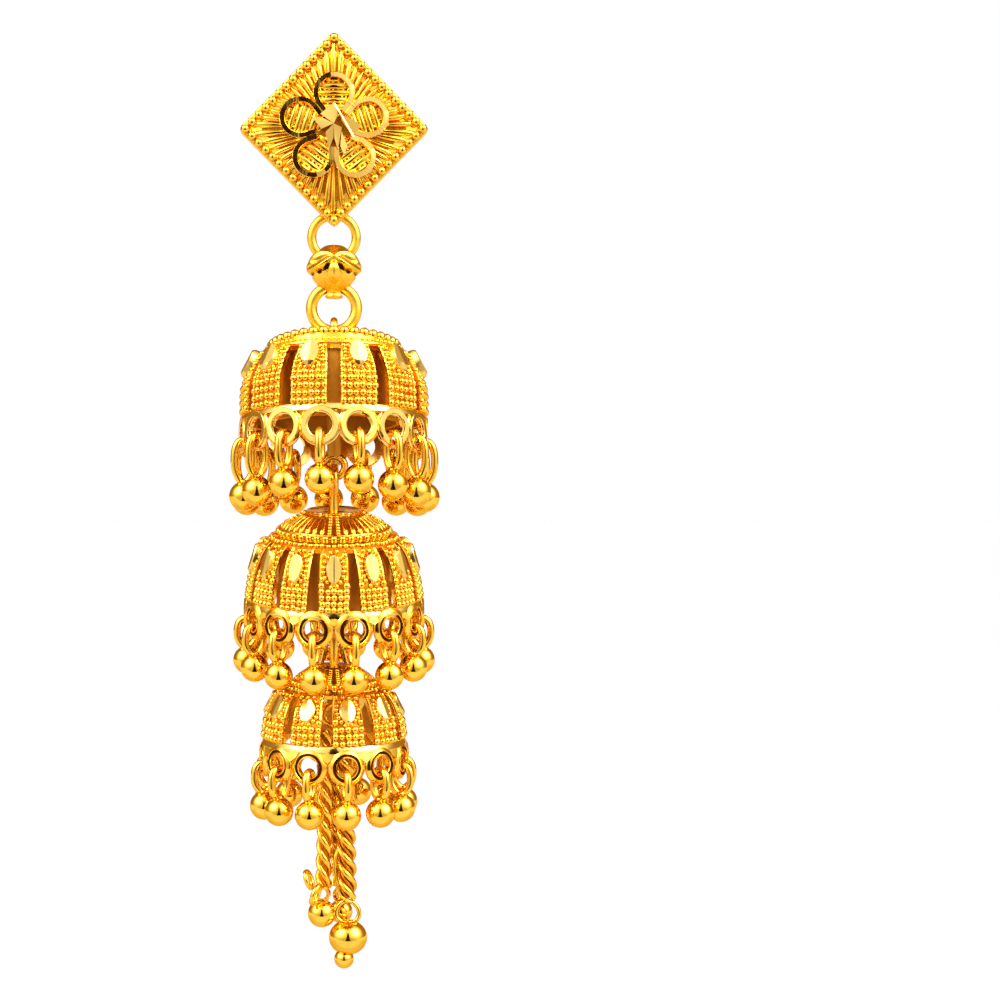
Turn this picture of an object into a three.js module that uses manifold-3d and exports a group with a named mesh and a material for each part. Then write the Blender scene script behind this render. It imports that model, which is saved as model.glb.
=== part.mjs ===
// A three-tier jhumka drop earring in gold, hanging as worn.
// Millimetres, +Z up, the front faces -Y. The origin is the middle of the stud's back, where the
// ear post starts. Everything that hangs does so in one plane just behind the stud.
import * as THREE from 'three';
import { mergeVertices } from 'three/addons/utils/BufferGeometryUtils.js';
import Module from 'manifold-3d';

const wasm = await Module();
wasm.setup();

// ---- driving dimensions ------------------------------------------------------------------

const HANG_Y = 0.75;            // the plane that the links and the dome axes hang in
const SOLDER = 0.12;            // how deep soldered pieces sink into each other
const PLAY = 0.12;              // clearance of one link in another
const SWING_PLAY = 0.18;        // clearance in a bore whose ring also swings back and forth

const STUD = {
  halfWidth: 7.5,
  halfHeight: 7.7,
  thickness: 0.6,
  rimHalf: 6.95,                // half diagonal of the bead rim, at its middle
  rimWidth: 0.5,
  rimHeight: 0.45,
  crownHeight: 0.35,            // how far the sunray field rises towards its middle
  petals: 5,
  petalReach: 2.83,             // from the middle to a petal's centre
  petalRadius: 1.67,
  petalBand: 0.44,
  petalHeight: 0.75,
  starReach: 2.1,
  starWaist: 1.0,
  starHeight: 1.05,
};

const POST = { padRadius: 1.6, padThickness: 0.4, radius: 0.45, length: 10.5, gap: 0.1 };

// A ring is given by its centre height, the radius of its wire's centre line and its wire.
const UPPER_RING = { z: -8.52, radius: 1.78, wire: 0.73 };
const LOWER_RING = { z: -14.2, radius: 1.8, wire: 0.9 };

// The link bead, as radius and height of its outline from the bottom up.
const BEAD_OUTLINE = [
  { r: 0, z: -13.44 }, { r: 0.7, z: -13.44 }, { r: 0.74, z: -12.75 }, { r: 1.45, z: -12.25 },
  { r: 1.95, z: -11.75 }, { r: 2.2, z: -11.1 }, { r: 1.95, z: -10.3 }, { r: 1.5, z: -9.65 },
  { r: 0.9, z: -9.2 }, { r: 0, z: -9.09 },
];

// Each dome has its own upright frame: z is 0 at the top edge of its band, and the axis is the
// dome's. `rise` is where that frame's zero lies in the whole, `tilt` the degrees by which the
// front edge drops, about the dome's balance point.
const BALANCE = -1;
const WALL = 0.4;
const evenly = (count, first) => Array.from({ length: count }, (_, i) =>
  first + (i * 360) / count);
const DOMES = {
  upper: {
    rise: -22.85, tilt: -6.5, segments: 24,
    slotsAt: [0, 31.5, 65, 98, 131, 163.8, 196.2, 229, 262, 295, 328.5],
    wall: [
      { r: 7.3, z: 0 }, { r: 7.15, z: 2.5 }, { r: 6.35, z: 4.3 }, { r: 5.5, z: 5.3 },
    ],
    crown: [{ r: 5.4, z: 5.9 }, { r: 4.8, z: 6.0 }],
    crownTop: 5.9,
    slot: { bottom: 0.1, top: 4.95, lowWidth: 1.2, highWidth: 1.1 },
    liner: { low: -0.6, high: 5.4, radius: 5.3 },
    rings: 15, ringAt: -8.6, ringRadius: 7.25, ringZ: -1.58, ringOuter: 2.98, ringHole: 1.95,
    drop: { reach: 4.3, ball: 2.4 },
    eyeZ: -26.835,
  },
  middle: {
    rise: -37.27, tilt: 8.5, segments: 26,
    slotsAt: evenly(13, 180 / 13),
    wall: [
      { r: 6.9, z: 0 }, { r: 6.55, z: 2.0 }, { r: 6.0, z: 3.6 }, { r: 5.5, z: 4.4 },
      { r: 4.7, z: 5.1 },
    ],
    crown: [{ r: 4.45, z: 5.35 }, { r: 4.45, z: 5.7 }, { r: 2.25, z: 7.05 }],
    crownTop: 7.05,
    slot: { bottom: 0.1, top: 4.7, lowWidth: 1.25, highWidth: 0.8 },
    liner: { low: -1.2, high: 5.15, radius: 4.6 },
    rings: 14, ringAt: 180 / 14, ringRadius: 6.95, ringZ: -1.31, ringOuter: 3.06, ringHole: 1.85,
    drop: { reach: 3.8, ball: 2.25 },
    eyeZ: -39.46,
    loop: { top: -26.95, wire: 0.75 },
  },
  lower: {
    rise: -48.45, tilt: 4, segments: 20,
    slotsAt: evenly(10, -6),
    wall: [
      { r: 5.6, z: 0 }, { r: 5.35, z: 1.6 }, { r: 4.95, z: 2.8 }, { r: 4.45, z: 3.6 },
      { r: 3.8, z: 4.2 },
    ],
    crown: [{ r: 3.6, z: 4.4 }, { r: 3.6, z: 4.7 }, { r: 1.85, z: 5.75 }],
    crownTop: 5.75,
    slot: { bottom: 0.1, top: 3.9, lowWidth: 1.15, highWidth: 0.8 },
    rings: 12, ringAt: 10, ringRadius: 5.65, ringZ: -1.55, ringOuter: 2.9, ringHole: 1.8,
    drop: { reach: 3.75, ball: 2.3 },
    eyeZ: -46.6,
    loop: { top: -39.575, wire: 0.75 },
  },
};
const BAND_DEPTH = 0.4;         // the plain band below a dome's panels
const RING_THICKNESS = 0.5;
const LINER_WALL = 0.35;        // the plain cup inside the two larger domes
const EYE = { radius: 0.85, wire: 0.6, rod: 1.1 };
const LOOP_HALF_WIDTH = 0.95;
const STAPLE_WIRE = 0.42;       // the wire of the small eyes that the two rings run through
const DROP_LOOP = { wire: 0.5, halfWidth: 0.72 };

// The tassel hangs inside the lowest dome. Places are X, Y from the hanging plane, and Z.
const CHAINS = [
  {
    name: 'tassel_chain_left', wide: 1.3,
    from: [-0.75, 0, -47.95], bend: [-0.7, 0, -54], to: [-0.85, 0, -60.4],
  },
  {
    name: 'tassel_chain_right', wide: 1.5,
    from: [0.8, 0, -47.95], bend: [0.9, 0, -54], to: [1.05, 0, -61.3],
  },
  {
    name: 'tassel_chain_back', wide: 1.0,
    from: [0, 1.35, -47.95], bend: [0, 1.35, -54], to: [0.3, 1.35, -60.5],
  },
];
const CHAIN_SIDES = 8;
const CHAIN_STEPS = 8;
const TASSEL = {
  leftBall: { x: -0.98, y: -0.2, z: -62.5, radius: 1.07, eye: 0.55 },
  backBall: { x: 0.55, y: 1.35, z: -62.6, radius: 0.95, eye: 0.5 },
  largeBead: { x: 1.1, z: -64.64, radius: 1.5 },
  smallBead: { x: 0.81, z: -66.2, radius: 0.77 },
  bow: { x: 1.08, z: -62.45, halfWidth: 0.95, halfHeight: 0.85, wire: 0.34 },
  beadsY: -0.2,
  links: [
    { name: 'tassel_link_upper', x: -2.2, y: -0.5, z: -59.5, lean: -20 },
    { name: 'tassel_link_lower', x: -1.55, y: -1.5, z: -60.85, lean: 22 },
  ],
  linkRadius: 0.6,
  linkStretch: 1.35,
  linkTurn: 70,                 // degrees that the end links are turned from facing the front
  linkWire: 0.42,
  eyeWire: 0.36,
};

// ---- finishes ----------------------------------------------------------------------------

const finish = (color, roughness) =>
  new THREE.MeshStandardMaterial({ color, roughness, metalness: 1 });
const polishedGold = () => finish(0xf3b93c, 0.14);
const frostedGold = () => finish(0xe8ab34, 0.34);
const wireGold = () => finish(0xefb53a, 0.18);

// ---- solids ------------------------------------------------------------------------------

function weld(geometry) {
  const bare = geometry.clone();
  bare.deleteAttribute('normal');
  bare.deleteAttribute('uv');
  return mergeVertices(bare, 1e-5);
}

function toSolid(geometry) {
  const welded = weld(geometry);
  const index = welded.getIndex().array;
  const corners = [];
  for (let i = 0; i < index.length; i += 3) {
    const [a, b, c] = [index[i], index[i + 1], index[i + 2]];
    if (a !== b && b !== c && c !== a) corners.push(a, b, c);
  }
  return new wasm.Manifold(new wasm.Mesh({
    numProp: 3,
    vertProperties: Float32Array.from(welded.getAttribute('position').array),
    triVerts: Uint32Array.from(corners),
  }));
}

function toGeometry(solid) {
  const mesh = solid.getMesh();
  const geometry = new THREE.BufferGeometry();
  geometry.setAttribute('position', new THREE.BufferAttribute(mesh.vertProperties, 3));
  geometry.setIndex(new THREE.BufferAttribute(mesh.triVerts, 1));
  return geometry;
}

const joined = (solids) => solids.reduce((whole, next) => whole.add(next));
const radians = THREE.MathUtils.degToRad;

// A revolved outline, from its bottom point on the axis to its top point on the axis.
function revolved(outline, segments) {
  const points = outline.map(({ r, z }) => new THREE.Vector2(r, z));
  return new THREE.LatheGeometry(points, segments).rotateX(Math.PI / 2);
}

// A flat ring in the XZ plane, its middle at the origin.
function washer(outer, inner, thickness, segments) {
  const shape = new THREE.Shape();
  const hole = new THREE.Path();
  shape.absarc(0, 0, outer, 0, 2 * Math.PI);
  hole.absarc(0, 0, inner, 0, 2 * Math.PI, true);
  shape.holes.push(hole);
  const ring = new THREE.ExtrudeGeometry(shape, {
    depth: thickness, bevelEnabled: false, curveSegments: segments / 2,
  });
  return ring.translate(0, 0, -thickness / 2).rotateX(Math.PI / 2);
}

// A round wire ring in the XZ plane.
function wireRing(radius, wire, sides = 6, steps = 20) {
  return new THREE.TorusGeometry(radius, wire / 2, sides, steps).rotateX(Math.PI / 2);
}

// A long link with round ends in the YZ plane, its middle at the origin.
function longLink(halfWidth, halfHeight, wire, sides = 4, steps = 8) {
  const straight = Math.max(halfHeight - halfWidth, 0);
  const turn = new THREE.CurvePath();
  const points = [];
  for (let i = 0; i < steps; i += 1) {
    const angle = (2 * Math.PI * (i + 0.5)) / steps;
    const side = Math.sign(Math.sin(angle));
    points.push(new THREE.Vector3(
      0, halfWidth * Math.cos(angle), halfWidth * Math.sin(angle) + side * straight,
    ));
  }
  for (let i = 0; i < steps; i += 1) {
    turn.add(new THREE.LineCurve3(points[i], points[(i + 1) % steps]));
  }
  return new THREE.TubeGeometry(turn, steps, wire / 2, sides, true);
}

// A staple in the YZ plane: an arch over the origin whose two feet go down by `leg`.
function staple(halfWidth, leg, wire, sides = 6, steps = 8) {
  const path = new THREE.CurvePath();
  const arc = [new THREE.Vector3(0, -halfWidth, -leg)];
  for (let i = 0; i <= steps; i += 1) {
    const angle = Math.PI - (Math.PI * i) / steps;
    arc.push(new THREE.Vector3(0, halfWidth * Math.cos(angle), halfWidth * Math.sin(angle)));
  }
  arc.push(new THREE.Vector3(0, halfWidth, -leg));
  for (let i = 0; i + 1 < arc.length; i += 1) {
    path.add(new THREE.LineCurve3(arc[i], arc[i + 1]));
  }
  return new THREE.ExtrudeGeometry(roundSection(wire, sides), {
    steps: arc.length * 2, extrudePath: path, bevelEnabled: false,
  });
}

// A staple that arches over the wire of a ring, which runs along X through the origin.
const ringStaple = ({ wire }, leg) =>
  staple(wire / 2 + PLAY + STAPLE_WIRE / 2, leg, STAPLE_WIRE);

function roundSection(wide, sides) {
  const section = new THREE.Shape();
  for (let i = 0; i < sides; i += 1) {
    const angle = (2 * Math.PI * i) / sides;
    const point = [0.5 * wide * Math.cos(angle), 0.5 * wide * Math.sin(angle)];
    if (i === 0) section.moveTo(...point);
    else section.lineTo(...point);
  }
  section.closePath();
  return section;
}

function ball(radius, around = 8, along = 5) {
  return new THREE.SphereGeometry(radius, around, along).rotateX(Math.PI / 2);
}

function named(name, geometry, material) {
  const mesh = new THREE.Mesh(geometry, material);
  mesh.name = name;
  return mesh;
}

// ---- stud and post -----------------------------------------------------------------------

// A slab with a square outline standing on its corner, between two depths in front of y = 0.
function lozenge(halfWidth, halfHeight, back, front, frontScale = 1) {
  const corners = [[halfWidth, 0], [0, halfHeight], [-halfWidth, 0], [0, -halfHeight]];
  const vertices = [];
  corners.forEach(([x, z]) => vertices.push(x, -back, z));
  corners.forEach(([x, z]) => vertices.push(x * frontScale, -front, z * frontScale));
  const faces = [0, 2, 1, 0, 3, 2, 4, 5, 6, 4, 6, 7];
  for (let i = 0; i < 4; i += 1) {
    const next = (i + 1) % 4;
    faces.push(i, next, next + 4, i, next + 4, i + 4);
  }
  const slab = new THREE.BufferGeometry();
  slab.setAttribute('position', new THREE.Float32BufferAttribute(vertices, 3));
  slab.setIndex(faces);
  return slab;
}

function starPlate() {
  const star = new THREE.Shape();
  for (let i = 0; i < 2 * STUD.petals; i += 1) {
    const reach = i % 2 === 0 ? STUD.starReach : STUD.starWaist;
    const angle = Math.PI / 2 + (Math.PI * i) / STUD.petals;
    const point = [reach * Math.cos(angle), reach * Math.sin(angle)];
    if (i === 0) star.moveTo(...point);
    else star.lineTo(...point);
  }
  star.closePath();
  const plate = new THREE.ExtrudeGeometry(star, { depth: STUD.starHeight, bevelEnabled: false });
  return plate.rotateX(Math.PI / 2);
}

function stud() {
  const slope = STUD.halfHeight / STUD.halfWidth;
  const face = STUD.thickness;
  const rim = (half) => lozenge(half, half * slope, face - SOLDER, face + STUD.rimHeight);
  const inside = (half) => lozenge(half, half * slope, face - 2 * SOLDER, face + 1);
  const fieldHalf = STUD.rimHalf - STUD.rimWidth / 3;
  const solids = [
    toSolid(lozenge(STUD.halfWidth, STUD.halfHeight, 0, face)),
    toSolid(rim(STUD.rimHalf + STUD.rimWidth / 2))
      .subtract(toSolid(inside(STUD.rimHalf - STUD.rimWidth / 2))),
    toSolid(lozenge(fieldHalf, fieldHalf * slope, face - SOLDER, face + STUD.crownHeight, 0.3)),
    toSolid(starPlate().translate(0, -face + SOLDER, 0)),
    toSolid(rearEye()),
  ];
  for (let i = 0; i < STUD.petals; i += 1) {
    const angle = Math.PI / 2 + (2 * Math.PI * i) / STUD.petals;
    const height = STUD.petalHeight + SOLDER;
    const petal = washer(STUD.petalRadius, STUD.petalRadius - STUD.petalBand, height, 12);
    petal.translate(
      STUD.petalReach * Math.cos(angle), -face + SOLDER - height / 2,
      STUD.petalReach * Math.sin(angle),
    );
    solids.push(toSolid(petal));
  }
  return named('stud', toGeometry(joined(solids)), polishedGold());
}

// The hanging eye behind the stud's lower corner: a staple whose feet stand on the stud's back.
function rearEye() {
  const eye = ringStaple(UPPER_RING, HANG_Y + SOLDER);
  return eye.rotateX(-Math.PI / 2).translate(0, HANG_Y, UPPER_RING.z + UPPER_RING.radius);
}

function earPost() {
  const { padRadius, padThickness, radius, length, gap } = POST;
  const post = revolved([
    { r: 0, z: 0 }, { r: padRadius, z: 0 }, { r: padRadius, z: padThickness },
    { r: radius, z: padThickness }, { r: radius, z: length - radius },
    { r: radius * 0.6, z: length - 0.1 }, { r: 0, z: length },
  ], 16);
  return named('ear_post', weld(post.rotateX(-Math.PI / 2).translate(0, gap, 0)), wireGold());
}

// ---- rings and link bead -----------------------------------------------------------------

const ringAt = ({ z, radius, wire }) => wireRing(radius, wire).translate(0, HANG_Y, z);

// The bore that a ring runs in, which follows the ring's own curve.
const ringChannel = ({ z, radius, wire }, play) =>
  toSolid(ringAt({ z, radius, wire: wire + 2 * play }));

function linkBead() {
  const channels = [
    ringChannel(UPPER_RING, PLAY),
    ringChannel(LOWER_RING, SWING_PLAY),
  ];
  const bead = toSolid(revolved(BEAD_OUTLINE, 12).translate(0, HANG_Y, 0));
  return named('link_bead', toGeometry(bead.subtract(joined(channels))), polishedGold());
}

// ---- domes -------------------------------------------------------------------------------

// The dome's own upright frame, tilted about its balance point and set at its height.
function domeFrame({ rise, tilt }) {
  return new THREE.Matrix4().makeTranslation(0, HANG_Y, rise + BALANCE)
    .multiply(new THREE.Matrix4().makeRotationX(radians(tilt)))
    .multiply(new THREE.Matrix4().makeTranslation(0, 0, -BALANCE));
}

// Turns a piece made at the front (towards -Y) round the axis, positive towards +X.
const aroundAxis = (geometry, degrees) => geometry.rotateZ(radians(degrees));

function shell({ wall, crown, crownTop, segments }) {
  const edge = wall[0].r;
  const roof = crown[crown.length - 1];
  const outside = [{ r: edge, z: -BAND_DEPTH }, ...wall, ...crown, { r: 0, z: crownTop }];
  const inside = [
    { r: 0, z: crownTop - WALL }, { r: Math.max(roof.r - 0.3, 0.2), z: roof.z - 1.5 * WALL },
    ...wall.map(({ r, z }) => ({ r: r - WALL, z: z - 0.15 * WALL })).reverse(),
    { r: edge - WALL, z: -BAND_DEPTH },
  ];
  return revolved([...inside, ...outside], segments);
}

function slotCutter({ bottom, top, lowWidth, highWidth }, { wall }) {
  const shape = new THREE.Shape([
    new THREE.Vector2(-lowWidth / 2, bottom), new THREE.Vector2(lowWidth / 2, bottom),
    new THREE.Vector2(highWidth / 2, top), new THREE.Vector2(-highWidth / 2, top),
  ]);
  const depth = 0.7 * wall[0].r;
  return new THREE.ExtrudeGeometry(shape, { depth, bevelEnabled: false })
    .rotateX(Math.PI / 2).translate(0, -wall[0].r + 0.45 * depth, 0);
}

// A cup of sheet inside a dome, soldered under its crown: it closes the view through the slots.
function linerCup({ low, high, radius }, segments) {
  const outside = [{ r: radius, z: low }, { r: radius, z: high / 2 }, { r: radius - 0.1, z: high }];
  const inside = outside.map(({ r, z }) => ({ r: r - LINER_WALL, z })).reverse();
  return revolved([...inside, ...outside, inside[0]], segments);
}

function skirtRing({ ringOuter, ringHole, ringRadius, ringZ }) {
  return washer(ringOuter / 2, ringHole / 2, RING_THICKNESS, 8).translate(0, -ringRadius, ringZ);
}

// The eye inside a dome that the next tier hangs from, on a rod soldered under the crown.
function innerEye(dome) {
  const top = dome.rise + dome.crownTop - WALL / 2;
  const bottom = dome.eyeZ + EYE.radius;
  const rod = new THREE.CylinderGeometry(EYE.rod / 2, EYE.rod / 2, top - bottom, 8)
    .rotateX(Math.PI / 2).translate(0, HANG_Y, (top + bottom) / 2);
  return [rod, wireRing(EYE.radius, EYE.wire, 6, 14).translate(0, HANG_Y, dome.eyeZ)];
}

// The loop on a dome's crown that it hangs by.
function crownLoop(dome) {
  const crownZ = dome.rise + dome.crownTop - WALL / 2;
  if (!dome.loop) {
    const arch = LOWER_RING.z - LOWER_RING.radius;
    return ringStaple(LOWER_RING, arch - crownZ).translate(0, HANG_Y, arch);
  }
  const arch = dome.loop.top - LOOP_HALF_WIDTH;
  return staple(LOOP_HALF_WIDTH, arch - crownZ, dome.loop.wire).translate(0, HANG_Y, arch);
}

function domeBody(name, dome) {
  const upright = [toSolid(shell(dome))];
  for (const degrees of dome.slotsAt) {
    const slot = toSolid(aroundAxis(slotCutter(dome.slot, dome), degrees));
    upright[0] = upright[0].subtract(slot);
  }
  if (dome.liner) upright.push(toSolid(linerCup(dome.liner, dome.segments)));
  for (let i = 0; i < dome.rings; i += 1) {
    upright.push(toSolid(aroundAxis(skirtRing(dome), dome.ringAt + (i * 360) / dome.rings)));
  }
  const tilted = toGeometry(joined(upright)).applyMatrix4(domeFrame(dome));
  const hung = [crownLoop(dome), ...innerEye(dome)].map(toSolid);
  return named(name, toGeometry(joined([toSolid(tilted), ...hung])), frostedGold());
}

// One drop, hanging straight down from the lower edge of its skirt ring: a long wire loop
// round the ring's edge, soldered to a ball.
function drop(name, dome, index) {
  const degrees = dome.ringAt + (index * 360) / dome.rings;
  const ring = new THREE.Vector3(0, -dome.ringRadius, dome.ringZ)
    .applyAxisAngle(new THREE.Vector3(0, 0, 1), radians(degrees)).applyMatrix4(domeFrame(dome));
  const { wire, halfWidth } = DROP_LOOP;
  const loopTop = -dome.ringHole / 2 + PLAY + wire / 2;
  const loopBottom = -dome.drop.reach + dome.drop.ball / 2 - 0.1;
  const halfHeight = (loopTop - loopBottom) / 2;
  const loop = longLink(halfWidth, halfHeight, wire).translate(0, 0, loopTop - halfHeight);
  const bob = ball(dome.drop.ball / 2, 8, 4).translate(0, 0, -dome.drop.reach);
  const piece = toGeometry(toSolid(loop).add(toSolid(bob)));
  aroundAxis(piece, degrees).translate(ring.x, ring.y, ring.z);
  return named(name, piece, polishedGold());
}

function drops(prefix, dome) {
  return Array.from({ length: dome.rings }, (_, i) =>
    drop(`${prefix}_drop_${String(i + 1).padStart(2, '0')}`, dome, i));
}

// ---- tassel ------------------------------------------------------------------------------

function chain({ name, wide, from, bend, to }) {
  const points = [from, bend, to].map(([x, y, z]) => new THREE.Vector3(x, HANG_Y + y, z));
  const tube = new THREE.ExtrudeGeometry(roundSection(wide, CHAIN_SIDES), {
    steps: CHAIN_STEPS, extrudePath: new THREE.CatmullRomCurve3(points), bevelEnabled: false,
  });
  return named(name, weld(tube), wireGold());
}

function eyedBall(name, { x, y, z, radius, eye }) {
  const loop = wireRing(eye, TASSEL.eyeWire, 5, 10).translate(0, 0, radius + eye - SOLDER);
  const piece = toGeometry(toSolid(ball(radius, 12, 8)).add(toSolid(loop)));
  return named(name, piece.translate(x, HANG_Y + y, z), polishedGold());
}

function endDrop() {
  const { largeBead, smallBead, bow } = TASSEL;
  const link = longLink(bow.halfWidth, bow.halfHeight, bow.wire, 5, 12)
    .rotateZ(Math.PI / 2).translate(bow.x, 0, bow.z);
  const beads = [largeBead, smallBead].map(({ x, z, radius }) =>
    ball(radius, 12, 8).translate(x, 0, z));
  const piece = toGeometry(joined([link, ...beads].map(toSolid)));
  return named('tassel_end_drop', piece.translate(0, HANG_Y + TASSEL.beadsY, 0), polishedGold());
}

function endLink({ name, x, y, z, lean }) {
  const link = wireRing(TASSEL.linkRadius, TASSEL.linkWire, 5, 12).rotateZ(radians(TASSEL.linkTurn))
    .scale(1, 1, TASSEL.linkStretch).rotateY(radians(lean)).translate(x, HANG_Y + y, z);
  return named(name, weld(link), wireGold());
}

// ---- the whole ---------------------------------------------------------------------------

const earring = new THREE.Group();
earring.add(
  stud(), earPost(),
  named('upper_ring', weld(ringAt(UPPER_RING)), wireGold()),
  linkBead(),
  named('lower_ring', weld(ringAt(LOWER_RING)), wireGold()),
);
for (const [tier, dome] of Object.entries(DOMES)) {
  earring.add(domeBody(`dome_${tier}`, dome), ...drops(tier, dome));
}
earring.add(
  ...CHAINS.map(chain),
  eyedBall('tassel_ball_left', TASSEL.leftBall),
  eyedBall('tassel_ball_back', TASSEL.backBall),
  endDrop(),
  ...TASSEL.links.map(endLink),
);

export default earring;
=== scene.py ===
"""A three-tier jhumka drop earring in bright gold, hung in front of a pale studio floor."""

import math

import bmesh
import bpy
import numpy as np
from mathutils import Matrix, Vector


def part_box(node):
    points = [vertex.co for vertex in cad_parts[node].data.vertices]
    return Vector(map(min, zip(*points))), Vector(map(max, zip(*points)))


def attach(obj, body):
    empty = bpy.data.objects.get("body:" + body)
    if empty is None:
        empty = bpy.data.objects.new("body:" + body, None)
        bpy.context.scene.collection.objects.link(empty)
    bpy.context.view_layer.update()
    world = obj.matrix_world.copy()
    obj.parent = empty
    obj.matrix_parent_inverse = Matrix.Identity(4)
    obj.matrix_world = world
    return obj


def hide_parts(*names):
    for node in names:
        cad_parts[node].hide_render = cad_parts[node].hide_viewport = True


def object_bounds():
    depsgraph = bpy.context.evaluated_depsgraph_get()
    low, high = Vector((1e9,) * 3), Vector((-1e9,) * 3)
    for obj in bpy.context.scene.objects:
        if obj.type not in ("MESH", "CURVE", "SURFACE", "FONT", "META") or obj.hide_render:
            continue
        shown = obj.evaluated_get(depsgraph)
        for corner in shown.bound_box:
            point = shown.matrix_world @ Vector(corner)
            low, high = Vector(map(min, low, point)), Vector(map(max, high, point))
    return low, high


bl_info = {
    "name": "Jhumka Earring",
    "version": (1, 0, 0),
    "blender": (4, 5, 0),
    "location": "3D View > Sidebar > Jhumka",
    "description": "Builds a three-tier gold jhumka earring, piece by piece",
    "category": "Object",
}

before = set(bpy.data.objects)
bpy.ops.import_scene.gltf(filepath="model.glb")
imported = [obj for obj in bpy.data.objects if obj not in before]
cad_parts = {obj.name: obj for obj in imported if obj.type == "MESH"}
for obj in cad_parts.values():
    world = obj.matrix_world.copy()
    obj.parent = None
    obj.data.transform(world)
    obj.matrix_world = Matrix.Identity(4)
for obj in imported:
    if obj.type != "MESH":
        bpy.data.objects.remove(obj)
cad_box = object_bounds()

MM = 0.001
HANG_Y = 0.75  # the plane behind the stud that everything hangs in, in millimetres
BALANCE = -1.0  # height of a bell's balance point in its own upright frame
SEED = 11


def evenly(number, first):
    """Angles in degrees, spaced evenly all round."""
    return [first + 360 * k / number for k in range(number)]


# The three bells, in millimetres and degrees. Heights on a bell are measured from the top
# edge of its band, which hangs at "rise"; "eye_z", the middle of the eye that what comes
# next hangs from, and "loop_z", the top of its own loop, are heights in the earring.
#   wall: (radius, height) from the band upwards
#   slots_at: angle of each slot; slot: its bottom, top, width below, width above
#   liner: bottom, top and radius of the cup inside, where there is one
#   cone: radius and height of the lip round the crown's cone, radius of the cap on it
#   outer, hole, ball: diameters of a skirt ring, of its hole and of a drop's ball
#   reach: from a ring's middle down to the ball's; extra: what the drops at the front
#     and those at the sides add to it
#   leaf: height, lean, length and width; leaf_out: how far it stands off the wall
#   rows: height of the first row of granules, pitch of the rows, number of wide rows
TIERS = {
    "upper": {
        "rise": -22.85, "tilt": -6.5,
        "slots_at": [0, 31.5, 65, 98, 131, 163.8, 196.2, 229, 262, 295, 328.5],
        "wall": [(7.3, 0.0), (7.15, 2.5), (6.35, 4.3), (5.5, 5.3)],
        "slot": (0.1, 4.95, 1.2, 1.1), "crown_top": 5.9, "liner": (-0.6, 5.4, 5.3),
        "rings": 15, "ring_at": -8.6, "ring_radius": 7.25, "ring_z": -1.58,
        "outer": 2.98, "hole": 1.95, "reach": 4.3, "ball": 2.4, "eye_z": -26.835,
        "leaf": (4.0, 29.0, 2.6, 1.62), "leaf_out": 0.02, "rows": (0.34, 0.6, 4),
        "style": "teardrop", "extra": (-0.15, 0.55),
        "body": "upper_dome", "node": "dome_upper",
    },
    "middle": {
        "rise": -37.27, "tilt": 8.5, "slots_at": evenly(13, 180 / 13),
        "wall": [(6.9, 0.0), (6.55, 2.0), (6.0, 3.6), (5.5, 4.4), (4.7, 5.1)],
        "slot": (0.1, 4.7, 1.1, 0.72), "crown_top": 7.05, "liner": (-1.2, 5.15, 4.6),
        "rings": 14, "ring_at": 180 / 14, "ring_radius": 6.95, "ring_z": -1.31,
        "outer": 3.06, "hole": 1.85, "reach": 3.8, "ball": 2.25, "eye_z": -39.46,
        "leaf": (3.3, 17.0, 2.8, 1.36), "leaf_out": -0.19, "rows": (0.28, 0.46, 5),
        "style": "marquise", "extra": (0.05, -0.1),
        "cone": (4.3, 5.66, 2.15), "loop_z": -26.95,
        "body": "middle_dome", "node": "dome_middle",
    },
    "lower": {
        "rise": -48.45, "tilt": 4.0, "slots_at": evenly(10, -6),
        "wall": [(5.6, 0.0), (5.35, 1.6), (4.95, 2.8), (4.45, 3.6), (3.8, 4.2)],
        "slot": (0.1, 3.9, 1.15, 0.8), "crown_top": 5.75,
        "rings": 12, "ring_at": 10.0, "ring_radius": 5.65, "ring_z": -1.55,
        "outer": 2.9, "hole": 1.8, "reach": 3.75, "ball": 2.3, "eye_z": -46.6,
        "leaf": (2.74, 27.0, 2.36, 1.5), "leaf_out": -0.34, "rows": (0.32, 0.54, 4),
        "style": "marquise", "extra": (0.0, 0.0),
        "cone": (3.15, 4.62, 1.75), "loop_z": -39.575,
        "body": "lower_dome", "node": "dome_lower",
    },
}
CROWN_LIFT = 0.45  # how much higher the upper bell's crown stands at its front
BAND_DEPTH = 0.4  # from a band's top edge down to its foot
WALL = 0.4  # thickness of the metal
PLAY = 0.12  # how loosely one wire lies in another
UPPER_RING = {"z": -8.52, "radius": 1.78, "wire": 0.73}
LOWER_RING = {"z": -14.2, "radius": 1.8, "wire": 0.9}
STAPLE_WIRE = 0.42


# ---- settings ----------------------------------------------------------------------------

def length(name, description, millimetres):
    return bpy.props.FloatProperty(
        name=name, description=description, default=millimetres * MM, min=0.0,
        unit="LENGTH", precision=5)


def count(name, description, number):
    return bpy.props.IntProperty(name=name, description=description, default=number, min=1)


def share(name, description, value, top=1.0):
    return bpy.props.FloatProperty(
        name=name, description=description, default=value, min=0.0, max=top, subtype="FACTOR")


def colour(name, description, value):
    return bpy.props.FloatVectorProperty(
        name=name, description=description, default=value, size=3, min=0.0, max=1.0,
        subtype="COLOR")


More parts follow.
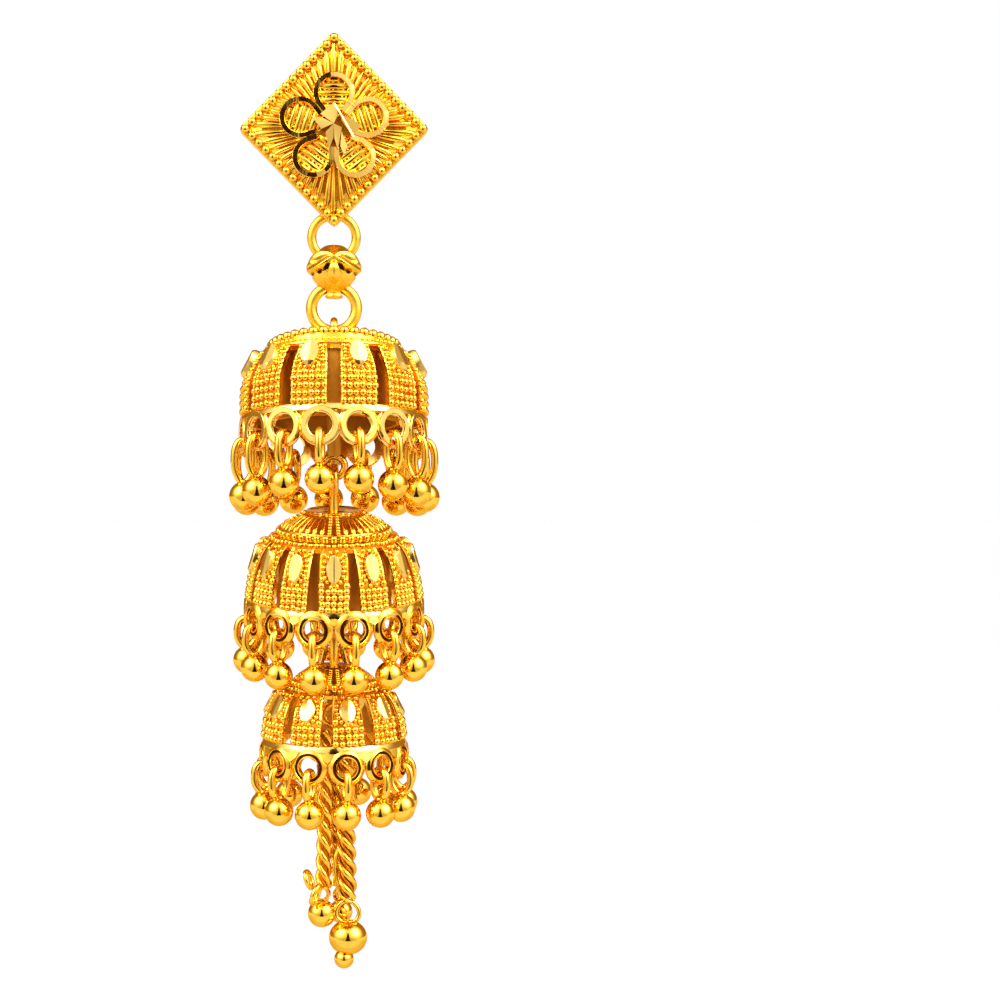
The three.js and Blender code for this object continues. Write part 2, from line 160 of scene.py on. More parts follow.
class JHUMKA_PG_finish(bpy.types.PropertyGroup):
    gold: colour("Gold", "Polished gold where it faces the light", (1.0, 0.61, 0.06))
    # Warm gold also tints polished gold in random drifts. Between the granules, warm and deep
    # gold are painted shade of the recesses.
    warm: colour("Warm gold", "Gold in the recesses", (0.97, 0.47, 0.025))
    deep: colour("Deep gold", "Gold at the bottom of the recesses", (0.5, 0.16, 0.008))
    pale: colour("Bright-cut gold", "Gold of the flat cut facets", (1.0, 0.69, 0.18))
    inside: colour("Inside", "The matte inside of the bells", (0.84, 0.4, 0.045))
    polish: share("Polish roughness", "Roughness of the polished balls and wires", 0.075)
    cut: share("Cut roughness", "Roughness of the bright-cut facets", 0.1)


class JHUMKA_PG_stud(bpy.types.PropertyGroup):
    half_width: length("Half width", "From the middle to a side corner", 7.5)
    half_height: length("Half height", "From the middle to the top corner", 7.7)
    thickness: length("Thickness", "Back to the front of the flange", 0.6)
    rim_half: length("Rim half width", "From the middle to the line of beads", 7.06)
    rim_beads: count("Rim beads", "Beads round the rim", 52)
    rim_bead: length("Rim bead", "Diameter of a rim bead", 0.7)
    rays: count("Sunrays", "Ridges that run from the middle to the rim", 54)
    ray_height: length("Sunray height", "Height of a ridge at the rim", 0.42)
    petal_reach: length("Petal reach", "From the middle to a petal's centre", 2.83)
    petal_radius: length("Petal radius", "Outer radius of a petal's band", 1.67)
    petal_band: length("Petal band", "Width of the flat band round a petal", 0.46)
    petal_top: length("Petal height", "Front of the petal bands from the plate's back", 1.35)


class JHUMKA_PG_links(bpy.types.PropertyGroup):
    upper_wire: length("Upper ring wire", "Wire of the ring at the stud", UPPER_RING["wire"])
    lower_wire: length("Lower ring wire", "Wire of the ring at the bell", LOWER_RING["wire"])
    bead_ridge: length("Bead ridge", "Height of the ridges on the link bead", 0.24)


class JHUMKA_PG_bells(bpy.types.PropertyGroup):
    granule: length("Granule", "Diameter of a granule on the panels", 0.56)
    granule_variation: share("Granule variation", "How much granules differ in size", 0.1)
    crown_bead: length("Crown bead", "Diameter of a bead on the upper bell's crown", 0.84)
    flutes: count("Flutes", "Ridges round the cone of a bell's crown", 40)
    drop_wire: length("Drop wire", "Wire diameter of a ball drop's loop", 0.6)


class JHUMKA_PG_tassel(bpy.types.PropertyGroup):
    lay: length("Rope lay", "Length of one full turn of a rope's strands", 3.8)
    strand: length("Strand wire", "Wire diameter of the ropes", 0.5)


class JHUMKA_PG_stage(bpy.types.PropertyGroup):
    floor: colour("Floor", "The pale floor", (0.45, 0.452, 0.472))
    drop: length("Floor drop", "From the earring's lowest point down to the floor", 22.0)
    distance: length("Camera distance", "From the camera to the hanging plane", 220.0)
    view_width: length("View width", "Width of the picture at the hanging plane", 80.0)
    view_height: bpy.props.FloatProperty(
        name="Camera height", description="Height of the camera over the stud's middle",
        default=-28.7 * MM, unit="LENGTH", precision=5)


# ---- node trees --------------------------------------------------------------------------

class Wire:
    """An output socket in a node tree, for sums written as Python expressions."""

    def __init__(self, board, socket):
        self.board, self.socket = board, socket

    def math(self, operation, *values):
        return self.board.math(operation, self, *values)

    def __add__(self, value):
        return self.math("ADD", value)

    def __mul__(self, value):
        return self.math("MULTIPLY", value)

    def __sub__(self, value):
        return self.math("SUBTRACT", value)

    def __truediv__(self, value):
        return self.math("DIVIDE", value)

    def __pow__(self, value):
        return self.math("POWER", value)

    def __rsub__(self, value):
        return self.board.math("SUBTRACT", value, self)

    def __rtruediv__(self, value):
        return self.board.math("DIVIDE", value, self)

    __radd__ = __add__
    __rmul__ = __mul__

    def between(self, low, high):
        """0 below low, 1 above high, straight between them."""
        return self.board.node("ShaderNodeMapRange", {"clamp": True},
                               {0: self, 1: low, 2: high, 3: 0.0, 4: 1.0}).wire()


class Made:
    """A node that a board has made."""

    def __init__(self, board, node):
        self.board, self.made = board, node

    def wire(self, name=0):
        return Wire(self.board, self.made.outputs[name])


class Board:
    """Makes the nodes of one tree."""

    def __init__(self, tree):
        self.tree = tree

    def node(self, kind, settings=None, inputs=None):
        made = self.tree.nodes.new(kind)
        for key, value in (settings or {}).items():
            setattr(made, key, value)
        for key, value in (inputs or {}).items():
            if isinstance(value, Wire):
                self.tree.links.new(value.socket, made.inputs[key])
            else:
                made.inputs[key].default_value = value
        return Made(self, made)

    def math(self, operation, *values):
        inputs = dict(enumerate(values))
        return self.node("ShaderNodeMath", {"operation": operation}, inputs).wire()

    def mix(self, factor, first, second):
        """A colour between two colours."""
        return self.node("ShaderNodeMix", {"data_type": "RGBA", "clamp_factor": True},
                         {0: factor, 6: first, 7: second}).wire(2)

    def vector(self, operation, *values):
        inputs = dict(enumerate(values))
        if operation == "SCALE":
            inputs = {0: values[0], 3: values[1]}
        return self.node("ShaderNodeVectorMath", {"operation": operation}, inputs).wire()


EDGE_TINT = (0.9, 0.55, 0.16)  # gold keeps its colour where light grazes it
COAT_ROUGHNESS = 0.06
# Painted shade: the colour of the link bead's hollows.
HOLLOW_SHADE = (0.05, 0.016, 0.002)
# Painted shadow at the bottom of the skirt rings' grooves: dark and brown.
GROOVE_SHADOW_DARK = (0.04, 0.012, 0.002)
GROOVE_SHADOW_BROWN = (0.12, 0.04, 0.004)
BOWL_FROM, BOWL_TO = -11.3 * MM, -12.0 * MM  # where the link bead's bowl turns satin


def rgba(values):
    return (*values, 1.0)


class Surface(Board):
    """The node tree of one gold finish. Noise scales are in repeats per metre."""

    def __init__(self, name):
        self.material = bpy.data.materials.new(name)
        self.material.use_nodes = True
        super().__init__(self.material.node_tree)
        self.tree.nodes.clear()
        self.place = self.node("ShaderNodeTexCoord").wire("Object")

    def noise(self, scale, detail=2.0, stretch=(1.0, 1.0, 1.0), distortion=0.0):
        place = self.place
        if stretch != (1.0, 1.0, 1.0):
            place = self.node("ShaderNodeMapping", {"vector_type": "POINT"},
                              {"Vector": place, "Scale": stretch}).wire()
        return self.node("ShaderNodeTexNoise", {"noise_dimensions": "3D"}, {
            "Vector": place, "Scale": scale, "Detail": detail, "Distortion": distortion,
        }).wire("Fac")

    def finish(self, base, roughness, height, strength, distance, coat=0.0):
        """Gold of a base colour and roughness, with a fine bump, under a clear coat."""
        bump = self.node("ShaderNodeBump", None, {
            "Height": height, "Strength": strength, "Distance": distance}).wire()
        shader = self.node("ShaderNodeBsdfPrincipled", None, {
            "Base Color": base, "Roughness": roughness, "Normal": bump,
            "Metallic": 1.0, "Specular Tint": rgba(EDGE_TINT), "Coat Weight": coat,
            "Coat Roughness": COAT_ROUGHNESS}).wire()
        self.node("ShaderNodeOutputMaterial", None, {"Surface": shader})
        return self.material


def polished(name, settings, roughness, warmth=0.35, grain=1.0):
    """Polished gold: soft drifts of colour, fine hairlines and a barely uneven skin."""
    board = Surface(name)
    drift = board.noise(260.0, 3.0).between(0.35, 0.75)
    hairlines = board.noise(2600.0, 2.0, (0.18, 0.18, 1.0))
    dust = board.noise(1500.0, 4.0).between(0.45, 0.75)
    base = board.mix(drift * warmth, rgba(settings.gold), rgba(settings.warm))
    rough = roughness + dust * (0.5 * roughness) + hairlines * (0.4 * roughness)
    skin = hairlines * 0.5 + board.noise(420.0, 2.0) * 1.6
    return board.finish(base, rough, skin, 0.12 * grain, 0.04 * MM, 0.25)


def carved(name, settings, roughness):
    """Polished gold whose hollows are painted dark as shade, satin below the ridges."""
    board = Surface(name)
    drift = board.noise(260.0, 3.0).between(0.35, 0.75)
    hollow = board.node("ShaderNodeAttribute", {"attribute_name": "hollow"}).wire("Fac")
    base = board.mix(drift * 0.4, rgba(settings.gold), rgba(settings.warm))
    # Painted shade: the deeper a spot lies in a hollow, the nearer its colour comes to the
    # hollow shade.
    base = board.mix(hollow, base, rgba(HOLLOW_SHADE))
    height = board.node("ShaderNodeSeparateXYZ", None, {0: board.place}).wire("Z")
    bowl = height.between(BOWL_FROM, BOWL_TO)
    rough = roughness + hollow * 0.3 + bowl * 0.26
    return board.finish(base, rough, board.noise(420.0, 2.0), 0.1, 0.04 * MM, 0.15)


def bright_cut(name, settings, roughness, painted_shade_factor=1.0):
    """Flat facets left by a cutting tool: pale, with fine parallel tool lines. A painted shade
    factor under 1 darkens both colours.
    """
    board = Surface(name)
    lines = board.noise(5200.0, 1.0, (1.0, 0.3, 0.10))
    patches = board.noise(420.0, 3.0).between(0.3, 0.75)
    pale, gold = (tuple(painted_shade_factor * c for c in v) for v in (settings.pale, settings.gold))
    base = board.mix(patches * 0.45, rgba(pale), rgba(gold))
    rough = roughness * 0.75 + patches * (0.4 * roughness) + lines * (0.2 * roughness)
    return board.finish(base, rough, lines, 0.10, 0.03 * MM, 0.2)


def stippled(name, settings):
    """The ground between granules, finely stippled: warm gold turning to deep gold, painted
    shade of the recesses.
    """
    board = Surface(name)
    stipple = board.noise(3600.0, 3.0)
    patches = board.noise(700.0, 3.0).between(0.3, 0.7)
    # Painted shade: the ground is always more than half of the way to deep gold.
    base = board.mix(0.55 + patches * 0.45, rgba(settings.warm), rgba(settings.deep))
    rough = 0.3 + stipple.between(0.3, 0.7) * 0.16
    return board.finish(base, rough, stipple, 0.5, 0.08 * MM)


def matte_inside(name, settings):
    """The unpolished cast inside of a bell: deep orange, mottled and pitted."""
    board = Surface(name)
    cast = board.noise(1300.0, 5.0, (1.0, 1.0, 0.6), 0.3)
    patches = board.noise(330.0, 4.0).between(0.3, 0.7)
    dark = tuple(0.45 * c for c in settings.inside)
    base = board.mix(patches * 0.6, rgba(settings.inside), rgba(dark))
    rough = 0.42 + cast.between(0.3, 0.7) * 0.2
    return board.finish(base, rough, cast, 0.6, 0.12 * MM)


def painted_groove_shadow(name):
    """Painted shadow for the dark bottom of a groove, mottled dark and brown."""
    board = Surface(name)
    mottle = board.noise(1500.0, 3.0).between(0.3, 0.7)
    base = board.mix(mottle, rgba(GROOVE_SHADOW_DARK), rgba(GROOVE_SHADOW_BROWN))
    return board.finish(base, 0.4 + mottle * 0.2, mottle, 0.3, 0.04 * MM)


def finishes():
    """The gold finishes by name, made once and shared by every piece."""
    if "gold_polished" not in bpy.data.materials:
        settings = bpy.context.scene.jhumka_finish
        polished("gold_polished", settings, settings.polish)
        polished("gold_wire", settings, 1.5 * settings.polish, 0.45)
        polished("gold_granules", settings, 1.6 * settings.polish, 0.6)
        polished("gold_satin", settings, 3.7 * settings.polish, 0.5, 0.3)
        carved("gold_carved", settings, 3.0 * settings.polish)
        bright_cut("gold_cut", settings, settings.cut)
        # The leaves take the cut gold darkened to 0.9, painted shade, as they face up into the
        # soft boxes.
        bright_cut("gold_leaf", settings, 2.2 * settings.cut, 0.9)
        stippled("gold_ground", settings)
        matte_inside("gold_inside", settings)
        painted_groove_shadow("gold_shadow")
    return bpy.data.materials


# ---- meshes ------------------------------------------------------------------------------

JOINED_CREASE = 38.0  # degrees from which an edge of a joined piece stays sharp


def moved(x, y, z):
    return Matrix.Translation((x, y, z))


def turned(degrees, axis="Z"):
    return Matrix.Rotation(math.radians(degrees), 4, axis)


def new_object(name, data):
    made = bpy.data.objects.new(name, data)
    bpy.context.scene.collection.objects.link(made)
    return made


def apply(piece, modifier):
    """Gives the piece the plain mesh that its modifier makes, and takes that off."""
    bpy.context.view_layer.update()
    result = piece.evaluated_get(bpy.context.evaluated_depsgraph_get())
    plain = bpy.data.meshes.new_from_object(result)
    piece.modifiers.remove(modifier)
    piece.data = plain
    return plain


class Shape:
    """Vertices and faces in millimetres, with the number of each face's finish."""

    def __init__(self):
        self.points, self.faces, self.finish = [], [], []

    def add(self, part, finish=0, place=None):
        points, faces = part
        start = len(self.points)
        self.points += [tuple(place @ Vector(p)) if place else tuple(p) for p in points]
        self.faces += [tuple(i + start for i in face) for face in faces]
        self.finish += [finish] * len(faces)
        return self

    def mesh(self, name, materials=(), crease=35.0, smooth=True):
        data = bpy.data.meshes.new(name)
        data.from_pydata([tuple(MM * c for c in p) for p in self.points], [], self.faces)
        for material in materials:
            data.materials.append(material)
        data.polygons.foreach_set("material_index", self.finish)
        bm = bmesh.new()
        bm.from_mesh(data)
        bmesh.ops.remove_doubles(bm, verts=bm.verts, dist=1e-7)
        bm.to_mesh(data)
        bm.free()
        shade(data, crease, smooth)
        return data

    def piece(self, name, materials=(), crease=35.0, smooth=True):
        return new_object(name, self.mesh(name, materials, crease, smooth))


def shade(data, crease, smooth=True):
    data.polygons.foreach_set("use_smooth", [smooth] * len(data.polygons))
    if smooth and crease < 180:
        data.set_sharp_from_angle(angle=math.radians(crease))
    data.update()


def lattice(rings, closed=False):
    """Faces over a stack of rings of points; a closed stack comes round to its start."""
    high, wide = len(rings), len(rings[0])
    faces = []
    for i in range(high if closed else high - 1):
        above = ((i + 1) % high) * wide
        for j in range(wide):
            after = (j + 1) % wide
            faces.append((i * wide + j, i * wide + after, above + after, above + j))
    return [p for ring in rings for p in ring], faces


def capped(rings):
    """Faces over a stack of rings of points, and over its two ends."""
    points, faces = lattice(rings)
    wide = len(rings[0])
    faces.append(tuple(range(wide))[::-1])
    faces.append(tuple(len(points) - wide + k for k in range(wide)))
    return points, faces


def lathe(outline, segments, closed=False):
    """Turns an outline of (radius, height) round the Z axis. It runs up the outside."""
    turn = [2 * math.pi * k / segments for k in range(segments)]
    return lattice([[(radius * math.cos(a), radius * math.sin(a), height) for a in turn]
                    for radius, height in outline], closed)


def sphere(radius, around=32, along=18, centre=(0.0, 0.0, 0.0)):
    outline = []
    for i in range(along + 1):
        a = math.pi * i / along - math.pi / 2
        outline.append((radius * max(math.cos(a), 1e-6), radius * math.sin(a)))
    points, faces = lathe(outline, around)
    return [tuple(Vector(p) + Vector(centre)) for p in points], faces


def tube(path, radius, sides=12, closed=False):
    """A round wire along a path of points; the ends of an open one are closed."""
    path = [Vector(p) for p in path]
    n = len(path)
    steps = []
    for i in range(n):
        before = path[i - 1] if closed or i else path[i]
        after = path[(i + 1) % n] if closed or i + 1 < n else path[i]
        steps.append((after - before).normalized())

    def sections(twist):
        """The rings of points, with a twist spread evenly along the path."""
        side, rings = steps[0].orthogonal().normalized(), []
        for i, step in enumerate(steps):
            side = (side - side.dot(step) * step).normalized()
            other = step.cross(side)
            turns = (2 * math.pi * k / sides + twist * i / n for k in range(sides))
            rings.append([path[i] + radius * (math.cos(a) * side + math.sin(a) * other)
                          for a in turns])
        return rings

    rings = sections(0.0)
    if not closed:
        return capped(rings)
    # The frame of a closed path comes home turned; the slip is spread along the path.
    start = rings[0][0] - path[0]
    over = start - start.dot(steps[-1]) * steps[-1]
    slip = max(range(sides), key=lambda k: (rings[-1][k] - path[-1]).dot(over))
    if slip:
        twist = 2 * math.pi * slip / sides
        rings = sections(twist if twist <= math.pi else twist - 2 * math.pi)
    return lattice(rings, True)


def circle_path(radius, steps, centre=(0.0, 0.0, 0.0)):
    """A ring of points in the XZ plane."""
    x, y, z = centre
    return [(x + radius * math.cos(a), y, z + radius * math.sin(a))
            for a in (2 * math.pi * k / steps for k in range(steps))]


def oval_path(half_width, half_height, centre, steps=32, square=0.8):
    """An upright oval in YZ, fuller at its shoulders than an ellipse and slim below."""
    path = []
    for k in range(steps):
        a = 2 * math.pi * k / steps
        x, z = (math.copysign(abs(v) ** square, v) for v in (math.sin(a), math.cos(a)))
        x *= 1 - 0.35 * max(0.0, -z) ** 2
        path.append((centre[0], centre[1] + half_width * x, centre[2] + half_height * z))
    return path


def arch_path(half_width, leg, steps=16):
    """An arch over the origin in the YZ plane, with straight legs."""
    arc = [(0.0, half_width * math.cos(a), half_width * math.sin(a))
           for a in (math.pi - math.pi * k / steps for k in range(steps + 1))]
    return [(0.0, -half_width, -leg), *arc, (0.0, half_width, -leg)]


def smooth_line(points, steps):
    """Points along a smooth curve through the given ones."""
    points = [np.array(p, float) for p in points]
    padded = [2 * points[0] - points[1], *points, 2 * points[-1] - points[-2]]
    line = []
    for i in range(1, len(padded) - 2):
        a, b, c, d = padded[i - 1:i + 3]
        for t in np.linspace(0, 1, steps, endpoint=False):
            line.append(0.5 * (2 * b + (c - a) * t + (2 * a - 5 * b + 4 * c - d) * t ** 2
                               + (3 * b - a - 3 * c + d) * t ** 3))
    line.append(points[-1])
    return [tuple(p) for p in line]


# ---- geometry nodes ----------------------------------------------------------------------

POINT_ATTRIBUTES = ("turn", "stretch")  # of a point that a copy is set at


def geometry_tree(name, **kinds):
    """A new tree with its input sockets. Returns the board, the sockets' wires and the
    sockets' identifiers by name."""
    old = bpy.data.node_groups.get(name)
    if old:
        bpy.data.node_groups.remove(old)
    tree = bpy.data.node_groups.new(name, "GeometryNodeTree")
    tree.interface.new_socket("Geometry", in_out="OUTPUT", socket_type="NodeSocketGeometry")
    keys = {}
    for label, kind in {"Geometry": "Geometry", **kinds, "Material": "Material"}.items():
        socket = tree.interface.new_socket(
            label, in_out="INPUT", socket_type="NodeSocket" + kind)
        keys[label] = socket.identifier
    board = Board(tree)
    start = board.node("NodeGroupInput")
    return board, {label: start.wire(label) for label in keys}, keys


def close_tree(board, geometry, wires):
    """Every tree ends alike: instances made real, with the finish set."""
    real = board.node("GeometryNodeRealizeInstances", None, {"Geometry": geometry}).wire()
    done = board.node("GeometryNodeSetMaterial", None, {
        "Geometry": real, "Material": wires["Material"]}).wire()
    board.node("NodeGroupOutput", None, {"Geometry": done})


def smoothed(board, geometry):
    return board.node("GeometryNodeSetShadeSmooth", None, {"Geometry": geometry}).wire()


def given_curve(board, wires, count=None):
    """The given paths as curves, with a count of even steps if there is one."""
    curve = board.node("GeometryNodeMeshToCurve", None, {"Mesh": wires["Geometry"]}).wire()
    if count is None:
        return curve
    return board.node("GeometryNodeResampleCurve", None, {
        "Curve": curve, "Count": wires[count]}).wire()


def random_size(board, wires):
    """A size for each copy: 1, more or less by up to the variation."""
    return board.node("FunctionNodeRandomValue", {"data_type": "FLOAT"}, {
        2: 1.0 - wires["Variation"], 3: 1.0 + wires["Variation"],
        "Seed": wires["Seed"]}).wire(1)


def close_sweep(board, curve, wires):
    """Ends a tree with a round wire along a curve."""
    section = board.node("GeometryNodeCurvePrimitiveCircle", {"mode": "RADIUS"}, {
        "Resolution": wires["Sides"], "Radius": wires["Wire"] * 0.5}).wire()
    swept = board.node("GeometryNodeCurveToMesh", None, {
        "Curve": curve, "Profile Curve": section, "Fill Caps": True}).wire()
    close_tree(board, smoothed(board, swept), wires)


def copies_tree():
    """Sets a piece at every point, turned and stretched as the point's attributes say."""
    board, wires, keys = geometry_tree(
        "jhumka_copies", Piece="Object", Variation="Float", Seed="Int")
    piece = board.node("GeometryNodeObjectInfo", None, {"Object": wires["Piece"]})
    turn, stretch = (
        board.node("GeometryNodeInputNamedAttribute", {"data_type": "FLOAT_VECTOR"},
                   {"Name": label}).wire("Attribute") for label in POINT_ATTRIBUTES)
    rotation = board.node("FunctionNodeEulerToRotation", None, {0: turn}).wire()
    placed = board.node("GeometryNodeInstanceOnPoints", None, {
        "Points": wires["Geometry"], "Instance": piece.wire("Geometry"),
        "Rotation": rotation,
        "Scale": board.vector("SCALE", stretch, random_size(board, wires))}).wire()
    close_tree(board, placed, wires)
    return board.tree, keys


def beads_tree():
    """A row of beads along each path, evenly spaced."""
    board, wires, keys = geometry_tree(
        "jhumka_beads", Beads="Int", Diameter="Float", Variation="Float", Seed="Int")
    bead = board.node("GeometryNodeMeshUVSphere", None, {
        "Segments": 12, "Rings": 8, "Radius": wires["Diameter"] * 0.5}).wire("Mesh")
    placed = board.node("GeometryNodeInstanceOnPoints", None, {
        "Points": given_curve(board, wires, "Beads"), "Instance": smoothed(board, bead),
        "Scale": random_size(board, wires)}).wire()
    close_tree(board, placed, wires)
    return board.tree, keys


def wires_tree():
    """A round wire along each path."""
    board, wires, keys = geometry_tree("jhumka_wires", Wire="Float", Sides="Int")
    close_sweep(board, given_curve(board, wires), wires)
    return board.tree, keys


def rope_tree():
    """Strands wound round each path."""
    board, wires, keys = geometry_tree(
        "jhumka_rope", Strands="Int", Wire="Float", Reach="Float", Lay="Float",
        Start="Float", Sides="Int", Points="Int")
    copies = board.node("GeometryNodeDuplicateElements", {"domain": "SPLINE"}, {
        "Geometry": given_curve(board, wires, "Points"), "Amount": wires["Strands"]})
    along = board.node("GeometryNodeSplineParameter").wire("Length")
    share_round = copies.wire("Duplicate Index") / wires["Strands"]
    turn = 2 * math.pi * (along / wires["Lay"] + share_round) + wires["Start"]
    normal = board.node("GeometryNodeInputNormal").wire()
    tangent = board.node("GeometryNodeInputTangent").wire()
    other = board.vector("CROSS_PRODUCT", tangent, normal)
    offset = board.vector(
        "ADD",
        board.vector("SCALE", normal, turn.math("COSINE") * wires["Reach"]),
        board.vector("SCALE", other, turn.math("SINE") * wires["Reach"]))
    wound = board.node("GeometryNodeSetPosition", None, {
        "Geometry": copies.wire("Geometry"), "Offset": offset}).wire()
    close_sweep(board, wound, wires)
    return board.tree, keys


def grown(name, data, tree, values):
    """The plain mesh object that a node tree grows from some points or paths."""
    group, keys = tree
    source = new_object(name, data)
    modifier = source.modifiers.new("Grow", "NODES")
    modifier.node_group = group
    for label, value in values.items():
        modifier[keys[label]] = value
    made = apply(source, modifier)
    made.name = name
    for label in POINT_ATTRIBUTES:
        if label in made.attributes:
            made.attributes.remove(made.attributes[label])
    if not len(made.polygons):
        raise RuntimeError(f"{name} came out empty")
    return source


def spots(name, places):
    """A mesh of loose points with the turn and stretch of each, from a list of matrices
    or of (matrix, (x, y, z) stretch)."""
    places = [p if isinstance(p, tuple) else (p, (1.0, 1.0, 1.0)) for p in places]
    data = bpy.data.meshes.new(name)
    data.from_pydata([tuple(MM * c for c in m.to_translation()) for m, _ in places], [], [])
    turn, stretch = (
        data.attributes.new(label, "FLOAT_VECTOR", "POINT") for label in POINT_ATTRIBUTES)
    turn.data.foreach_set("vector", [c for m, _ in places for c in m.to_euler("XYZ")])
    stretch.data.foreach_set("vector", [c for _, s in places for c in s])
    return data


def paths(name, lines, closed=False):
    """A mesh of edges along one or more lines of points."""
    points, edges = [], []
    for line in lines:
        start = len(points)
        points += [tuple(MM * c for c in p) for p in line]
        edges += [(start + i, start + i + 1) for i in range(len(line) - 1)]
        if closed:
            edges.append((start + len(line) - 1, start))
    data = bpy.data.meshes.new(name)
    data.from_pydata(points, edges, [])
    return data


def copies(name, template, places, material, variation=0.0):
    """Copies of a template mesh at places, as one piece."""
    model = new_object(name + "_model", template)
    made = grown(name, spots(name, places), copies_tree(), {
        "Piece": model, "Variation": variation, "Seed": SEED, "Material": material})
    bpy.data.objects.remove(model)
    return made


def beads(name, lines, number, diameter, material, closed=False, variation=0.03):
    """Rows of a number of beads along lines, as one piece."""
    return grown(name, paths(name, lines, closed), beads_tree(), {
        "Beads": number, "Diameter": diameter * MM, "Variation": variation, "Seed": SEED,
        "Material": material})


def wires(name, lines, wire, material, closed=False, sides=16):
    """Round wires along lines, as one piece."""
    return grown(name, paths(name, lines, closed), wires_tree(), {
        "Wire": wire * MM, "Sides": sides, "Material": material})


def join(name, parts):
    """One piece from several, keeping each one's finishes."""
    materials, points, faces, finish, rounded = [], [], [], [], []
    for data in [part.data for part in parts]:
        start = len(points)
        materials += [m for m in data.materials if m not in materials]
        points += [tuple(v.co) for v in data.vertices]
        for face in data.polygons:
            faces.append(tuple(i + start for i in face.vertices))
            finish.append(materials.index(data.materials[face.material_index]))
            rounded.append(face.use_smooth)
    whole = bpy.data.meshes.new(name)
    whole.from_pydata(points, [], faces)
    for material in materials:
        whole.materials.append(material)
    whole.polygons.foreach_set("material_index", finish)
    whole.polygons.foreach_set("use_smooth", rounded)
    whole.set_sharp_from_angle(angle=math.radians(JOINED_CREASE))
    for part in parts:
        bpy.data.objects.remove(part)
    return new_object(name, whole)


def settle(piece, body, slot, *nodes):
    """The piece rides on its body and stands for its nodes, whose parts are hidden. The slot is
    not used.
    """
    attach(piece, body)
    if nodes:
        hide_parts(*nodes)
    return piece


# ---- stud --------------------------------------------------------------------------------

def diamond(half, slope, corner=0.0, steps=5):
    """The outline of a square on its corner, in X and Z, with its corners rounded."""
    tips = [np.array(tip) for tip in
            ((half, 0.0), (0.0, half * slope), (-half, 0.0), (0.0, -half * slope))]
    outline = []
    for before, tip, after in zip(tips[-1:] + tips[:-1], tips, tips[1:] + tips[:1]):
        start, end = (tip + (to - tip) / np.linalg.norm(to - tip) * corner
                      for to in (before, after))
        for t in np.linspace(0, 1, steps):
            outline.append((1 - t) ** 2 * start + 2 * t * (1 - t) * tip + t ** 2 * end)
    return outline


def diamond_loft(levels, slope):
    """A slab built up from (half width, depth in front of the back, corner radius)."""
    return capped([[(x, -depth, z) for x, z in diamond(half, slope, corner)]
                   for half, depth, corner in levels])


# Half the section of a ridge of width 1 and height 1: (across, height) up to the crest.
RIDGE_SECTION = [(-0.5, -0.3), (-0.5, 0.0), (-0.45, 0.36), (-0.34, 0.7), (-0.19, 0.93),
                 (0.0, 1.0)]


def ridge_model(name, taper=True, steps=6):
    """A ridge of length 1 along Z from the origin, facing -Y: width 1 and height 1 at its
    far end. A tapered one starts narrow."""
    section = RIDGE_SECTION + [(-x, h) for x, h in RIDGE_SECTION[-2::-1]]
    rings = []
    for i in range(steps + 1):
        along = 0.14 + 0.86 * i / steps if taper else i / steps
        wide = along if taper else 1.0
        tall = 0.5 + 0.5 * along if taper else 1.0
        if i in (0, steps):
            wide, tall = 0.5 * wide, 0.1 * tall
        if i in (1, steps - 1):
            along += 0.03 * (1 if i > 1 else -1)
        rings.append([(wide * x, -tall * h, along) for x, h in section])
    return Shape().add(capped(rings)).mesh(name, crease=50.0)


PETALS = 5
PETAL_HALF = math.pi / PETALS  # half of the angle that a petal takes
PETAL_FOOT = 1.5  # how far from the middle of the flower a petal's sides end


def petal_line(reach, radius, steps=26):
    """The middle line of a petal's band in X and Z, for the petal that points up."""
    c, s = math.cos(PETAL_HALF), math.sin(PETAL_HALF)
    side = reach * s - radius
    touch = math.pi / 2 + PETAL_HALF
    arc = [math.pi / 2 - touch * (2 * k / steps - 1) for k in range(steps + 1)]
    feet = [(sign * (PETAL_FOOT * s - side * c), PETAL_FOOT * c + side * s)
            for sign in (-1, 1)]
    return [feet[0], *((radius * math.cos(a), reach + radius * math.sin(a)) for a in arc),
            feet[1]]


def band(line, width, back, front, rng, turn):
    """A flat-topped band along a line in X and Z, its top cut in short facets. Cuts on
    the right half of the flower lean to the right; those on the left face the front."""
    bevel, chamfer, facet_steps = 0.05, 0.06, 3
    shape = Shape()
    line = [np.array(p) for p in line]
    n = len(line)
    sides = []
    for i in range(n):
        step = line[min(i + 1, n - 1)] - line[max(i - 1, 0)]
        step /= np.linalg.norm(step)
        sides.append(np.array((-step[1], step[0])))
    right = np.array((math.cos(turn), math.sin(turn)))
    for i in range(n - 1):
        middle = (sides[i] + sides[i + 1]) / 2
        if i % facet_steps == 0:
            uneven = rng.uniform(-0.05, 0.05, 2)
        centre = (line[i] + line[i + 1]) / 2
        rightward = min(1.0, max(0.0, 0.5 + float(np.dot(centre, right)) / 1.2))
        lean = (0.02 * middle + (0.02 + 0.19 * rightward) * right
                + uneven * (1.1 - 0.85 * rightward))
        ends = []
        for j in (i, i + 1):
            ends.append([])
            for sign in (1, -1):
                foot = line[j] + sides[j] * width / 2 * sign
                rim = line[j] + sides[j] * (width / 2 - bevel) * sign
                top = front - float(np.dot(rim - centre, lean))
                flank = [(foot[0], -back, foot[1]), (foot[0], chamfer - top, foot[1]),
                         (rim[0], -top, rim[1])]
                ends[-1] += flank[::sign]
        shape.add(capped(ends))
    return shape.points, shape.faces


